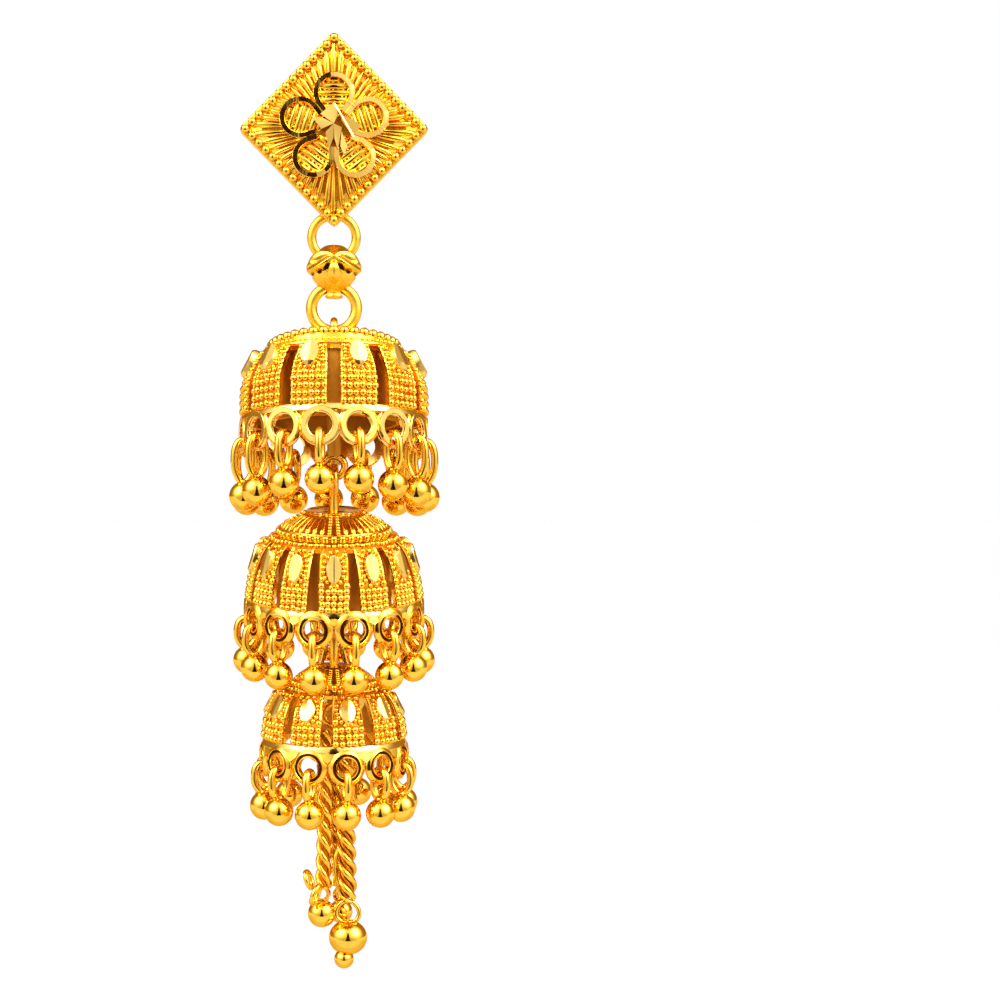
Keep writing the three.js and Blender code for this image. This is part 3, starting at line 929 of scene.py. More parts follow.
# The star's leaves: four corners each, from the middle round by the tip, as x and z and
# the height over the petals' bands. They were cut and set by hand, so no two are alike.
STAR = [
    [(-0.02, 0.30, 0.42), (-1.08, 1.05, 0.55), (-0.10, 1.90, 0.34), (0.42, 1.20, 0.36)],
    [(-0.02, 0.30, 0.42), (-0.95, 0.75, 0.50), (-1.74, 0.78, 0.62), (-1.00, -0.15, 0.54)],
    [(-0.02, 0.30, 0.42), (-0.68, -0.40, 0.52), (-0.42, -1.80, 0.34), (-0.04, -0.80, 0.36)],
    [(-0.02, 0.30, 0.42), (0.05, -0.90, 0.38), (0.30, -1.75, 0.24), (0.62, 0.00, 0.28)],
    [(0.60, -0.30, 0.30), (0.50, -1.50, 0.30), (0.80, -2.15, 0.14), (1.08, -1.50, 0.05)],
    [(0.50, 0.95, 0.24), (1.05, 0.88, 0.17), (2.15, 0.27, 0.02), (1.48, -0.70, 0.10)],
    [(0.42, 1.20, 0.42), (-0.10, 1.90, 0.36), (1.50, -0.74, 0.26), (0.62, 0.50, 0.32)],
    [(-0.06, 1.92, 0.36), (0.10, 1.90, 0.29), (1.62, -0.70, 0.19), (1.46, -0.74, 0.26)],
]


def star_leaf(corners, top, ground):
    """One leaf of the star: a kite folded along its middle, with upright sides."""
    high = [(x, -(top + h), z) for x, z, h in corners]
    low = [(x, -ground, z) for x, z, _ in corners]
    turn = sum(a[0] * b[1] - b[0] * a[1] for a, b in zip(corners, corners[1:] + corners[:1]))
    faces = [(0, 1, 2), (0, 2, 3), (4, 7, 6, 5),
             (0, 4, 5, 1), (1, 5, 6, 2), (2, 6, 7, 3), (3, 7, 4, 0)]
    return high + low, [face[::-1] for face in faces] if turn < 0 else faces


CORNER_CUT = 0.17  # what the rounding takes off each corner of the stud


class JHUMKA_OT_stud(bpy.types.Operator):
    """Makes the square stud with its beads, sunrays, flower and hanging eye."""

    bl_idname = "jhumka.stud"
    bl_label = "Stud"

    def execute(self, context):
        size, gold = context.scene.jhumka_stud, finishes()
        slope, face = size.half_height / size.half_width, size.thickness / MM
        half, rim = size.half_width / MM + CORNER_CUT, size.rim_half / MM
        rng = np.random.default_rng(SEED)
        line = [(x, -(face + 0.22), z) for x, z in diamond(rim, slope, 0.0, 1)]
        settle(join("stud_front", [
            self.plate(gold, half, rim, face, slope),
            self.sunrays(size, gold, face, slope, rim - 0.3, rng),
            *self.flower(size, gold, face, rng),
            beads("stud_beads", [line], size.rim_beads, size.rim_bead / MM,
                  gold["gold_polished"], closed=True, variation=0.04),
            self.eye(gold),
        ]), "stud_root", "polished_gold", "stud")
        return {"FINISHED"}

    def plate(self, gold, half, rim, face, slope):
        """The flange, and in it a slab with the low rim and the field, in the ground's gold:
        darker, as painted shade between the rays.
        """
        plate = Shape().add(diamond_loft([
            (half - 0.12, 0.0, 0.6), (half, 0.1, 0.6), (half, face - 0.16, 0.6),
            (half - 0.05, face - 0.04, 0.6), (half - 0.16, face + 0.02, 0.6)], slope), 0)
        plate.add(diamond_loft([
            (half - 0.24, face - 0.2, 0.6), (half - 0.24, face + 0.03, 0.6),
            (rim + 0.26, face, 0.5), (rim + 0.1, face + 0.12, 0.5),
            (rim - 0.16, face + 0.12, 0.45), (rim - 0.36, face - 0.02, 0.4),
            (3.0, face + 0.16, 0.3), (0.6, face + 0.3, 0.1)], slope), 1)
        return plate.piece("stud_plate", [gold["gold_wire"], gold["gold_ground"]], crease=30)

    def eye(self, gold):
        """The staple on the back that the upper ring hangs in."""
        reach = UPPER_RING["wire"] / 2 + PLAY + STAPLE_WIRE / 2
        foot_z = UPPER_RING["z"] + UPPER_RING["radius"]
        arch = [(x, HANG_Y + z, foot_z + y) for x, y, z in arch_path(reach, HANG_Y + PLAY)]
        return wires("stud_eye", [arch], STAPLE_WIRE, gold["gold_wire"])

    def sunrays(self, size, gold, face, slope, field, rng):
        """Ridges from the middle to the edge of the field, filed by hand and uneven."""
        rays, step = [], 360 / size.rays
        for i in range(size.rays):
            turn = math.radians(i * step + rng.uniform(-0.12, 0.12) * step)
            along = field / (abs(math.sin(turn)) + abs(math.cos(turn)) / slope)
            wide = along * math.radians(step) * rng.uniform(0.76, 0.94)
            tall = size.ray_height / MM * rng.uniform(0.75, 1.1)
            place = (moved(0, -(face + 0.02), 0) @ turned(math.degrees(turn), "Y")
                     @ turned(math.degrees(rng.uniform(-0.16, 0.16))))
            rays.append((place, (wide, tall, along)))
        return copies("stud_rays", ridge_model("ray_model"), rays, gold["gold_polished"])

    def flower(self, size, gold, face, rng):
        """Five petals with ridged floors and cut bands, and the star in their middle."""
        reach, radius = size.petal_reach / MM, size.petal_radius / MM
        wide, top = size.petal_band / MM, size.petal_top / MM
        floor, pitch, inside = top - 0.5, 0.56, radius - wide
        line = petal_line(reach, radius - wide / 2)
        points, faces = capped([[(x, -depth, z) for x, z in line] for depth in (face, floor)])
        slab = points, [f[::-1] for f in faces]
        floors, bands, star, ridges = Shape(), Shape(), Shape(), []
        for i in range(PETALS):
            spin = turned(360 / PETALS * i, "Y")
            floors.add(slab, 0, spin)
            bands.add(band(line, wide, face, top, rng, 2 * PETAL_HALF * i), 0, spin)
            for k in range(-5, 4):
                level = k * pitch
                if level > -0.62 * radius:
                    chord = math.sqrt(max(inside ** 2 - level ** 2, 0.0)) + 0.1
                else:
                    chord = max((reach + level) * math.tan(PETAL_HALF) - 0.25, 0.15)
                if chord >= 0.3:
                    place = (spin @ moved(-chord, 0.02 - floor, reach + level)
                             @ turned(90, "Y"))
                    ridges.append((place, (pitch * rng.uniform(0.86, 1.0),
                                           rng.uniform(0.2, 0.3), 2 * chord)))
        for corners in STAR:
            star.add(star_leaf(corners, top, face + 0.2), 0)
        ridge = ridge_model("floor_ridge_model", False, 4)
        return [
            floors.piece("petal_floors", [gold["gold_granules"]]),
            bands.piece("petal_bands", [gold["gold_cut"]], smooth=False),
            star.piece("star", [gold["gold_cut"]], smooth=False),
            copies("petal_ridges", ridge, ridges, gold["gold_polished"]),
        ]


class JHUMKA_OT_post(bpy.types.Operator):
    """Makes the ear post with its pad, behind the stud."""

    bl_idname = "jhumka.post"
    bl_label = "Ear post"

    def execute(self, context):
        gold = finishes()
        low, high = (tuple(c / MM for c in corner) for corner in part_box("ear_post"))
        start, end, pad = low[1], high[1], high[0]
        outline = [(1e-6, start), (pad - 0.08, start), (pad, start + 0.08),
                   (pad, start + 0.28), (pad - 0.1, start + 0.4), (0.7, start + 0.42),
                   (0.52, start + 0.55), (0.45, start + 0.8), (0.45, end - 1.6),
                   (0.38, end - 1.5), (0.38, end - 1.25), (0.45, end - 1.15),
                   (0.45, end - 0.4), (0.3, end - 0.12), (1e-6, end)]
        post = Shape().add(lathe(outline, 28), 0, turned(-90, "X"))
        made = post.piece("ear_post_round", [gold["gold_wire"]], crease=50)
        settle(made, "stud_root", "wire_gold", "ear_post")
        return {"FINISHED"}


# ---- links and the bead ------------------------------------------------------------------

def ring_line(ring, steps=72):
    return circle_path(ring["radius"], steps, (0.0, HANG_Y, ring["z"]))


BEAD_OUTLINE = [(0.02, -9.08), (0.6, -9.15), (1.0, -9.36), (1.66, -9.9), (1.95, -10.5),
                (2.02, -10.9), (1.95, -11.3), (1.76, -11.75), (1.48, -12.15), (1.18, -12.48),
                (0.9, -12.7), (0.74, -12.84), (0.69, -13.0), (0.73, -13.2), (0.6, -13.38),
                (0.02, -13.42)]
# The bead's carving as seen from the front, in millimetres from its middle line.
LOWER_ARM = [(0.0, -10.08), (0.5, -10.42), (1.05, -10.8), (1.6, -11.08), (2.3, -11.3)]
UPPER_ARM = [(0.0, -10.08), (0.35, -9.82), (0.8, -9.7), (1.3, -9.84), (1.7, -10.25),
             (1.95, -10.75), (2.1, -11.2)]
# Hollows: middle (x, z), half length, half width, fall outwards in degrees, depth.
HOLLOWS = [(1.12, -10.32, 0.66, 0.22, 22, 0.17), (0.62, -10.98, 0.42, 0.2, 46, 0.42),
           (1.15, -11.32, 0.26, 0.17, 30, 0.34), (1.72, -11.5, 0.22, 0.12, 60, 0.25)]
DARK_DEPTH = 0.34  # a hollow from this deep gets the full painted shade
LEAF_FOOT, LEAF_LONG = -12.3, 1.95  # the ridged leaf that points down the front


def bead_surface(ridge, around=200, along=130):
    """The link bead: crossing ridges with hollow leaves between, a ridged leaf below."""
    outline = np.array(smooth_line(BEAD_OUTLINE, 8))[::-1]
    travel = np.concatenate([[0], np.cumsum(np.hypot(*np.diff(outline, axis=0).T))])
    even = np.linspace(0, travel[-1], along)
    radii, heights = (np.interp(even, travel, outline[:, k]) for k in range(2))
    turns = np.linspace(-math.pi, math.pi, around, endpoint=False)
    rings = []
    for radius, z in zip(radii, heights):
        rings.append([])
        for a in turns:
            # The carving shows twice, front and back, and meets at the two sides.
            r = radius + relief(abs(radius * math.sin(a)), z, ridge) * min(1.0, radius / 0.9)
            rings[-1].append((r * math.sin(a), HANG_Y - r * math.cos(a), z))
    return capped(rings)


def relief(x, z, ridge):
    """Height of the bead's carving at a distance x from its middle line and a height z."""
    high = ridge * max(crest(x, z, LOWER_ARM, 0.34), 0.85 * crest(x, z, UPPER_ARM, 0.32))
    high -= sum(deep * share_in for share_in, deep in hollow_shares(x, z))
    t = (z - LEAF_FOOT) / LEAF_LONG
    if 0 < t < 1:
        half = 0.5 * math.sin(math.pi * t ** 0.8) ** 0.8
        if x < half:
            high = max(high, 0.12 + 0.55 * (half - x)) * min(1.0, 5 * (1 - t))
    return high


def hollow_shares(x, z):
    """How deep a spot lies in each hollow, 0 to 1, with the hollow's depth."""
    found = []
    for middle, level, long, wide, fall, deep in HOLLOWS:
        c, s = math.cos(math.radians(fall)), math.sin(math.radians(fall))
        u = ((x - middle) * c - (z - level) * s) / long
        v = ((x - middle) * s + (z - level) * c) / wide
        found.append((max(0.0, 1 - u * u - v * v) ** 0.8, deep))
    return found


def crest(x, z, line, width):
    """1 on a line through (x, z) points, falling to 0 over a width."""
    best = width
    for (a, b), (c, d) in zip(line, line[1:]):
        t = ((x - a) * (c - a) + (z - b) * (d - b)) / ((c - a) ** 2 + (d - b) ** 2)
        t = min(1.0, max(0.0, t))
        best = min(best, math.hypot(x - a - t * (c - a), z - b - t * (d - b)))
    return (1 - best / width) ** 1.2


class JHUMKA_OT_links(bpy.types.Operator):
    """Makes the two wire rings and the carved bead between them."""

    bl_idname = "jhumka.links"
    bl_label = "Rings and link bead"

    def execute(self, context):
        size, gold = context.scene.jhumka_links, finishes()
        for name, ring, wire, body, node in (
                ("upper_link_ring", UPPER_RING, size.upper_wire, "upper_link", "upper_ring"),
                ("lower_link_ring", LOWER_RING, size.lower_wire, "lower_link", "lower_ring")):
            made = wires(name, [ring_line(ring)], wire / MM, gold["gold_satin"], True, 24)
            settle(made, body, "wire_gold", node)
        ridge = size.bead_ridge / MM
        bead = Shape().add(bead_surface(ridge)).piece(
            "carved_bead", [gold["gold_carved"]], crease=180)
        for ring, play in ((UPPER_RING, PLAY), (LOWER_RING, 1.5 * PLAY)):
            cut = Shape().add(tube(ring_line(ring), ring["wire"] / 2 + play, 20, True))
            cutter = cut.piece("bore_cut")
            modifier = bead.modifiers.new("Bore", "BOOLEAN")
            modifier.operation, modifier.object, modifier.solver = "DIFFERENCE", cutter, "EXACT"
            apply(bead, modifier)
            bpy.data.objects.remove(cutter)
        # Painted shade: how deep each point lies in a hollow, for the finish to darken it.
        hollow = bead.data.attributes.new("hollow", "FLOAT", "POINT")
        for spot, value in zip(bead.data.vertices, hollow.data):
            x, _, z = spot.co / MM
            value.value = min(1.0, 1.6 * max(
                part * min(1.0, deep / DARK_DEPTH) for part, deep in hollow_shares(abs(x), z)))
        shade(bead.data, 60)
        settle(bead, "bead_link", "polished_gold", "link_bead")
        return {"FINISHED"}


# ---- bells -------------------------------------------------------------------------------

class Bell:
    """One bell's sizes, and places on its wall."""

    def __init__(self, key):
        self.key, self.tier = key, TIERS[key]
        line = np.array(smooth_line(self.tier["wall"], 16))
        self.radii, self.heights = line[:, 0], line[:, 1]
        self.edge, self.top = self.tier["wall"][-1]
        # From the bell's own upright frame to its place and tilt.
        self.frame = (moved(0.0, HANG_Y, self.tier["rise"] + BALANCE)
                      @ turned(self.tier["tilt"], "X") @ moved(0.0, 0.0, -BALANCE))

    def radius(self, z):
        return float(np.interp(z, self.heights, self.radii))

    def lean(self, z):
        """How far the wall leans in at a height, in radians."""
        low, high = max(z - 0.15, 0.0), min(z + 0.15, self.top)
        return math.atan2(self.radius(low) - self.radius(high), high - low)

    def slot_half(self, z):
        """Half of the angle that a slot takes at a height, in degrees."""
        bottom, top, low, high = self.tier["slot"]
        wide = float(np.interp(z, (bottom, top), (low, high)))
        return math.degrees(math.asin(wide / 2 / self.radius(z)))

    def panels(self):
        """The middle angle of each panel, and the angle from slot to slot."""
        slots = self.tier["slots_at"]
        after = [*slots[1:], slots[0] + 360]
        return [((a + b) / 2, b - a) for a, b in zip(slots, after)]

    def panel_half(self, z, span):
        """Half of a panel's width at a height, along the wall."""
        return math.radians(span / 2 - self.slot_half(z)) * self.radius(z)

    def place(self, degrees, z, out=0.0, lean=None):
        """A place on the wall, facing out, with the wall's lean or a given one in degrees."""
        lean = math.degrees(self.lean(z)) if lean is None else lean
        return (self.frame @ turned(degrees) @ moved(0.0, -self.radius(z), z)
                @ turned(-lean, "X") @ moved(0.0, -out, 0.0))

    def skirt_turns(self):
        """The angle of every ring of the skirt."""
        return evenly(self.tier["rings"], self.tier["ring_at"])

    def skirt_places(self, between=0.0):
        """The middle of every skirt ring, or a share of the way on to the next ring."""
        shift = between * 360 / self.tier["rings"]
        spot = moved(0.0, -self.tier["ring_radius"], self.tier["ring_z"])
        return [self.frame @ turned(a + shift) @ spot for a in self.skirt_turns()]

    def ring(self, radius, z, steps=96):
        """A level ring of points round the bell's axis, its first point at the front."""
        turns = (2 * math.pi * k / steps for k in range(steps))
        return [tuple(self.frame @ Vector((radius * math.sin(a), -radius * math.cos(a), z)))
                for a in turns]


def pierced_wall(bell, gold):
    """The wall with its slots, a thickness of metal, matte inside."""
    bottom, slot_top = bell.tier["slot"][:2]
    low_rows, across_slot, across_panel = 15, 4, 10
    heights = [-BAND_DEPTH, *np.linspace(bottom, slot_top, low_rows),
               *np.linspace(slot_top, bell.top, 4)[1:]]
    rings = []
    for z in heights:
        turns, radius, half = [], bell.radius(z), bell.slot_half(z)
        for middle, span in bell.panels():
            slot = middle - span / 2
            turns += list(np.linspace(slot - half, slot + half, across_slot + 1)[:-1])
            turns += list(np.linspace(slot + half, slot + span - half, across_panel + 1)[:-1])
        rings.append([(radius * math.sin(a), -radius * math.cos(a), z)
                      for a in map(math.radians, turns)])
    points, faces = lattice(rings)
    wide, kept = len(rings[0]), []
    for face in faces:
        row, column = divmod(face[0], wide)
        in_slot = column % (across_slot + across_panel) < across_slot
        if not (in_slot and 1 <= row < low_rows):
            kept.append(face)
    wall = Shape().add((points, kept), 0, bell.frame)
    # The outside takes the ground's gold, painted shade between the granules; the inside is
    # matte.
    made = wall.piece(bell.key + "_wall", [gold["gold_ground"], gold["gold_inside"],
                                           gold["gold_wire"]], crease=180)
    modifier = made.modifiers.new("Wall", "SOLIDIFY")
    modifier.thickness, modifier.offset = WALL * MM, -1.0
    modifier.material_offset, modifier.material_offset_rim = 1, 2
    shade(apply(made, modifier), 40)
    return made


def leaf_half(style, t):
    """Half width of a leaf, as a share of its widest, at t from its foot to its tip."""
    if not 0 < t < 1:
        return 0.0
    if style == "teardrop":
        return math.sin(math.pi * (1 - t) ** 1.1) ** 0.62
    return math.sin(math.pi * t) ** 0.8


def leaf_model(name, style, long, wide, across=16, along=28):
    """A rounded leaf cut with flat facets. It lies in XZ, its tip up, and faces -Y. The
    cuts are planes: how high each lets the leaf stand at x and z."""
    rings, tall = [], 0.8
    for i in range(along + 1):
        t = i / along
        z = long * (t - 0.5)
        half = max(leaf_half(style, t) * wide / 2, 1e-4)
        row = [(-half, 0.3, z)]
        for j in range(across + 1):
            v = 2 * j / across - 1
            x = v * half
            dome = tall * max(1 - v * v, 0.0) ** 0.22 * min(1.0, 3.6 * half / wide) ** 0.6
            if style == "teardrop":
                cuts = (0.78 * tall - (0.05 if x < 0 else 0.16) * abs(x) + 0.03 * z,
                        0.78 * tall + 0.9 * (z + 0.36 * long) - 0.3 * abs(x),
                        0.78 * tall + 2.3 * (z + 0.45 * long))
            else:
                cuts = (0.9 * tall - (0.15 if x < 0 else 0.12) * abs(x),
                        0.9 * tall + 1.5 * (z + 0.43 * long),
                        0.9 * tall - 0.9 * (z - 0.42 * long))
            row.append((x, -max(min(dome, *cuts), 0.02), z))
        row.append((half, 0.3, z))
        rings.append(row)
    return Shape().add(lattice(rings)).mesh(name, crease=16.0)


# Steps between granules along a wide row and a close one, the pitch of the close rows, and
# the sizes of a close row's granules and of a leaf's grains, as shares of a full granule.
WIDE_STEP, CLOSE_STEP, CLOSE_PITCH = 0.53, 0.46, 0.44
CLOSE_SIZES, EDGE_SIZE = (0.74, 0.88), 0.66
LEAF_ROOM = 0.34  # from a leaf's edge to the middle of the nearest granule


def granule_spots(bell):
    """Rows of granules over every panel, round its leaf, and round the wall's top."""
    z_leaf, lean, long, wide = bell.tier["leaf"]
    style, rise = bell.tier["style"], long * math.cos(math.radians(lean))
    first, pitch, full = bell.tier["rows"]
    slot_top = bell.tier["slot"][1]
    rng = np.random.default_rng(SEED + 7)
    found, z, row = [], first, 0

    def put(degrees, z, size):
        """Sets one granule, a hair out of line, as grains soldered by hand are."""
        shift = rng.normal(0.0, 0.025, 2)
        degrees += math.degrees(shift[0] / bell.radius(z))
        found.append((bell.place(degrees, z + shift[1], 0.05), (size, size, size)))

    while z < slot_top + 0.02:
        t = (z - z_leaf) / rise + 0.5
        room = 0.5 * wide * leaf_half(style, min(max(t, 0.02), 0.98)) + LEAF_ROOM
        for middle, span in bell.panels():
            reach = bell.panel_half(z, span) - 0.16
            across = WIDE_STEP if row < full else CLOSE_STEP
            number = max(2, round(2 * reach / across) + 1)
            for j in range(number):
                u = reach * (2 * j / (number - 1) - 1)
                if not (-0.08 < t < 1.08 and abs(u) < room):
                    put(middle + math.degrees(u / bell.radius(z)), z,
                        1.0 if row < full else rng.uniform(*CLOSE_SIZES))
        row += 1
        z += pitch if row < full else CLOSE_PITCH
    # Small grains follow the edge of every leaf.
    for middle, _ in bell.panels():
        for t in np.linspace(0.03, 0.97, 8):
            level = z_leaf + (t - 0.5) * rise
            out = math.degrees((0.5 * wide * leaf_half(style, t) + 0.13) / bell.radius(level))
            if level < slot_top + 0.1:
                put(middle - out, level, EDGE_SIZE)
                put(middle + out, level, EDGE_SIZE)
    # Close rings of granules run round the wall above the slots of a bell with a cone.
    z = slot_top + 0.22
    while "cone" in bell.tier and z < bell.top - 0.05:
        for degrees in evenly(round(2 * math.pi * bell.radius(z) / 0.47), 0):
            put(degrees, z, rng.uniform(*CLOSE_SIZES))
        z += 0.4
    return found


GROOVE_LIP = 0.12  # how far a grooved ring's lip reaches into its hole


def skirt_ring(bell):
    """The outline of a skirt ring's metal, as (radius, depth towards the front)."""
    hole, outer = bell.tier["hole"] / 2, bell.tier["outer"] / 2
    if bell.key == "upper":
        return [(hole, -0.25), (outer + 0.12, -0.25), (outer + 0.18, -0.18),
                (outer + 0.18, -0.02), (outer + 0.12, 0.04), (outer + 0.06, -0.02),
                (outer, 0.02), (outer, 0.2), (outer - 0.05, 0.26), (hole + 0.12, 0.26),
                (hole + 0.07, 0.2), (hole + 0.07, 0.06), (hole, 0.02)]
    hole -= GROOVE_LIP
    return [(hole, -0.25), (outer - 0.04, -0.25), (outer + 0.02, -0.17),
            (outer + 0.02, 0.0), (outer - 0.03, 0.08), (hole + 0.39, 0.24),
            (hole + 0.35, 0.2), (hole + 0.34, -0.12), (hole + 0.17, -0.12),
            (hole + 0.16, 0.14), (hole + 0.12, 0.22), (hole + 0.05, 0.24),
            (hole + 0.01, 0.18), (hole, 0.08)]


def skirt(bell, gold):
    """The plain band, the rings under it and the cut corners between them."""
    key, tier, edge = bell.key, bell.tier, bell.radii[0]
    strip = Shape().add(lathe([
        (edge - WALL, -0.5), (edge + 0.09, -0.5), (edge + 0.21, -0.44), (edge + 0.21, -0.36),
        (edge + 0.06, 0.03), (edge + 0.01, 0.1), (edge - 0.05, 0.13), (edge - WALL, 0.1),
    ], 96, True), 0, bell.frame)
    ring = Shape().add(lathe(skirt_ring(bell), 40, True), 0, turned(90, "X"))
    pieces = [
        strip.piece(key + "_band", [gold["gold_cut"]], crease=50),
        copies(key + "_rings", ring.mesh("ring_model", crease=38), bell.skirt_places(),
               gold["gold_cut" if key == "upper" else "gold_wire"])]
    if key == "upper":
        return pieces
    hole = tier["hole"] / 2 - GROOVE_LIP
    # Each groove of a ring holds a dark ring of painted shadow.
    groove = Shape().add(lathe([
        (hole + 0.14, -0.1), (hole + 0.37, -0.1), (hole + 0.37, 0.03), (hole + 0.14, 0.03),
    ], 32, True), 0, turned(90, "X"))
    wide, tall = 0.95, -tier["ring_z"] - 0.35
    front = [(-wide, -0.02, tall), (0.0, -0.17, tall), (wide, -0.02, tall), (0.0, -0.4, 0.4)]
    back = [(x, 0.2, z) for x, _, z in front]
    faces = [(1, 0, 3), (2, 1, 3), (4, 5, 7), (5, 6, 7), (0, 1, 5, 4), (1, 2, 6, 5),
             (2, 3, 7, 6), (3, 0, 4, 7)]
    corner = Shape().add((front + back, faces))
    return pieces + [
        copies(key + "_grooves", groove.mesh("groove_model"), bell.skirt_places(),
               gold["gold_shadow"]),
        copies(key + "_corners", corner.mesh("corner_model", smooth=False),
               bell.skirt_places(0.5), gold["gold_satin"])]


def crown(bell, gold, size):
    """The top of a bell: a bead row round a closed roof, or a fluted cone under a disc."""
    if bell.key == "upper":
        return upper_crown(bell, gold, size)
    rim, lip, wide_cap = bell.tier["cone"]
    cap, edge, top = bell.tier["crown_top"], bell.edge, bell.top
    outline = [
        (1e-6, cap - WALL), (wide_cap - 0.4, cap - WALL - 0.05), (rim - 0.4, lip - 0.45),
        (edge - 0.4, top - 0.25), (edge - 0.02, top - 0.12), (edge + 0.26, top - 0.16),
        (edge + 0.34, top - 0.09), (edge + 0.32, top + 0.0), (edge + 0.2, top + 0.09),
        (rim + 0.02, lip - 0.3), (rim - 0.02, lip - 0.18), (rim + 0.12, lip - 0.12),
        (rim + 0.17, lip), (rim + 0.13, lip + 0.1), (rim + 0.02, lip + 0.12),
        (rim - 0.1, lip + 0.05), (rim - 0.2, lip + 0.08), (wide_cap + 0.12, cap - 0.2),
        (wide_cap + 0.04, cap - 0.1), (wide_cap + 0.08, cap - 0.02),
        (wide_cap + 0.02, cap + 0.05), (wide_cap - 0.1, cap + 0.06),
        (wide_cap - 0.2, cap), (0.9, cap - 0.04), (0.78, cap), (1e-6, cap + 0.02),
    ]
    cone = 16  # the point of the outline that the cone starts from; the cone takes the ground's gold, painted shade between the flutes
    roof = Shape().add(lathe(outline[:cone + 1], 96), 0, bell.frame)
    roof.add(lathe(outline[cone:cone + 2], 96), 1, bell.frame)
    roof.add(lathe(outline[cone + 1:], 96), 0, bell.frame)
    number = size.flutes if bell.key == "middle" else 4 * round(0.2 * size.flutes)
    foot, head = (rim - 0.12, lip + 0.1), (wide_cap + 0.1, cap - 0.14)
    return [
        roof.piece(bell.key + "_roof", [gold["gold_wire"], gold["gold_ground"]],
                   crease=40),
        beads(bell.key + "_lip_beads", [bell.ring(rim + 0.1, lip - 0.2, number)], number,
              0.54, gold["gold_polished"], True),
        flutes(bell, gold, number, foot, head),
        bead_columns(bell, gold, foot, head),
    ]


def slot_lips(bell, gold):
    """Thin bright lips down both sides of every slot."""
    bottom, top = bell.tier["slot"][:2]
    lines = []
    for slot in bell.tier["slots_at"]:
        for side in (-1, 1):
            line = []
            for z in np.linspace(bottom, top, 12):
                degrees = slot + side * (bell.slot_half(z) + 0.4)
                line.append(tuple(bell.place(degrees, float(z), 0.02) @ Vector()))
            lines.append(line)
    return wires(bell.key + "_lips", lines, 0.2, gold["gold_polished"], False, 8)


def liner_cup(bell, gold):
    """The plain cup inside a bell, which closes the view through its slots."""
    low, high, radius = bell.tier["liner"]
    inner = radius - 0.35
    outline = [(inner, high / 2), (inner, low + 0.08), (radius - 0.2, low),
               (radius, low + 0.08), (radius, high / 2), (radius - 0.1, high),
               (inner - 0.1, high)]
    cup = Shape().add(lathe(outline, 72, True), 0, bell.frame)
    return cup.piece(bell.key + "_liner", [gold["gold_inside"]], crease=50)


def front_lift(points, low):
    """Raises what stands above a height, most at the front: the crown swells there."""
    lifted = []
    for x, y, z in points:
        front = max(0.0, -y / max(math.hypot(x, y), 1e-6))
        share_up = min(1.0, max(0.0, (z - low) / 0.2))
        lifted.append((x, y, z + CROWN_LIFT * share_up * front ** 2))
    return lifted


def upper_crown(bell, gold, size):
    """A closed roof behind one row of large beads, over a bright rim."""
    edge, top = bell.edge, bell.top
    outline = [
        (1e-6, top), (4.6, top), (edge - 0.4, top - 0.3), (edge + 0.1, top - 0.3),
        (edge + 0.24, top - 0.26), (edge + 0.3, top - 0.16), (edge + 0.26, top - 0.06),
        (edge + 0.12, top + 0.02), (edge - 0.06, top + 0.06), (edge - 0.3, top + 0.3),
        (5.0, top + 0.36), (4.6, top + 0.4), (3.4, top + 0.5), (1.2, top + 0.55),
        (1e-6, top + 0.55),
    ]
    points, faces = lathe(outline, 96)
    lift_from = top + 0.12
    roof = Shape().add((front_lift(points, lift_from), faces), 0, bell.frame)
    parts = [roof.piece("upper_roof", [gold["gold_wire"]], crease=40)]
    back = bell.frame.inverted()
    for name, circle, z, number, wide, skin in (
            ("beads", 4.98, top + 0.42, 38, size.crown_bead / MM, "gold_polished"),
            ("grains", 5.4, top + 0.14, 74, 0.36, "gold_granules"),
            ("eye_grains", 1.35, top + 0.58, 16, 0.42, "gold_granules")):
        line = [tuple(back @ Vector(p)) for p in bell.ring(circle, z)]
        line = [tuple(bell.frame @ Vector(p)) for p in front_lift(line, lift_from)]
        parts.append(beads("upper_crown_" + name, [line], number, wide, gold[skin], True))
    return parts


def flutes(bell, gold, number, foot, head):
    """Ridges that run down a cone from head to foot, each (radius, height)."""
    run, rise = foot[0] - head[0], foot[1] - head[1]
    lean = math.degrees(math.atan2(run, -rise))
    size = (2 * math.pi * foot[0] / number * 0.72, 0.24, math.hypot(run, rise))
    places = []
    for degrees in evenly(number, 180 / number):
        # A gap is left for the bead columns at the front, the back and the sides.
        if min(degrees % 90, 90 - degrees % 90) >= 180 / number * 1.2:
            # The ridge starts at the head and its length runs down the slope.
            places.append((bell.frame @ turned(degrees) @ moved(0.0, -head[0], head[1])
                           @ turned(180 - lean, "X") @ turned(180), size))
    return copies(f"{bell.key}_flutes", ridge_model("flute_model"), places,
                  gold["gold_granules"])


def bead_columns(bell, gold, foot, head):
    """Pairs of bead columns down the cone, at the front, the back and the sides."""
    lines = []
    for middle in (0, 90, 180, 270):
        for side in (-1, 1):
            line = []
            for t in np.linspace(0.04, 0.96, 7):
                radius = foot[0] + t * (head[0] - foot[0])
                z = foot[1] + t * (head[1] - foot[1])
                a = math.radians(middle) + side * (0.36 - 0.12 * t) / radius
                line.append(tuple(bell.frame @ Vector((
                    radius * math.sin(a), -radius * math.cos(a), z))))
            lines.append(line)
    return beads(f"{bell.key}_columns", lines, 7, 0.36, gold["gold_polished"])


ROD, EYE, EYE_WIRE = 1.1, 0.85, 0.6  # the rod's width, the eye's radius and its wire


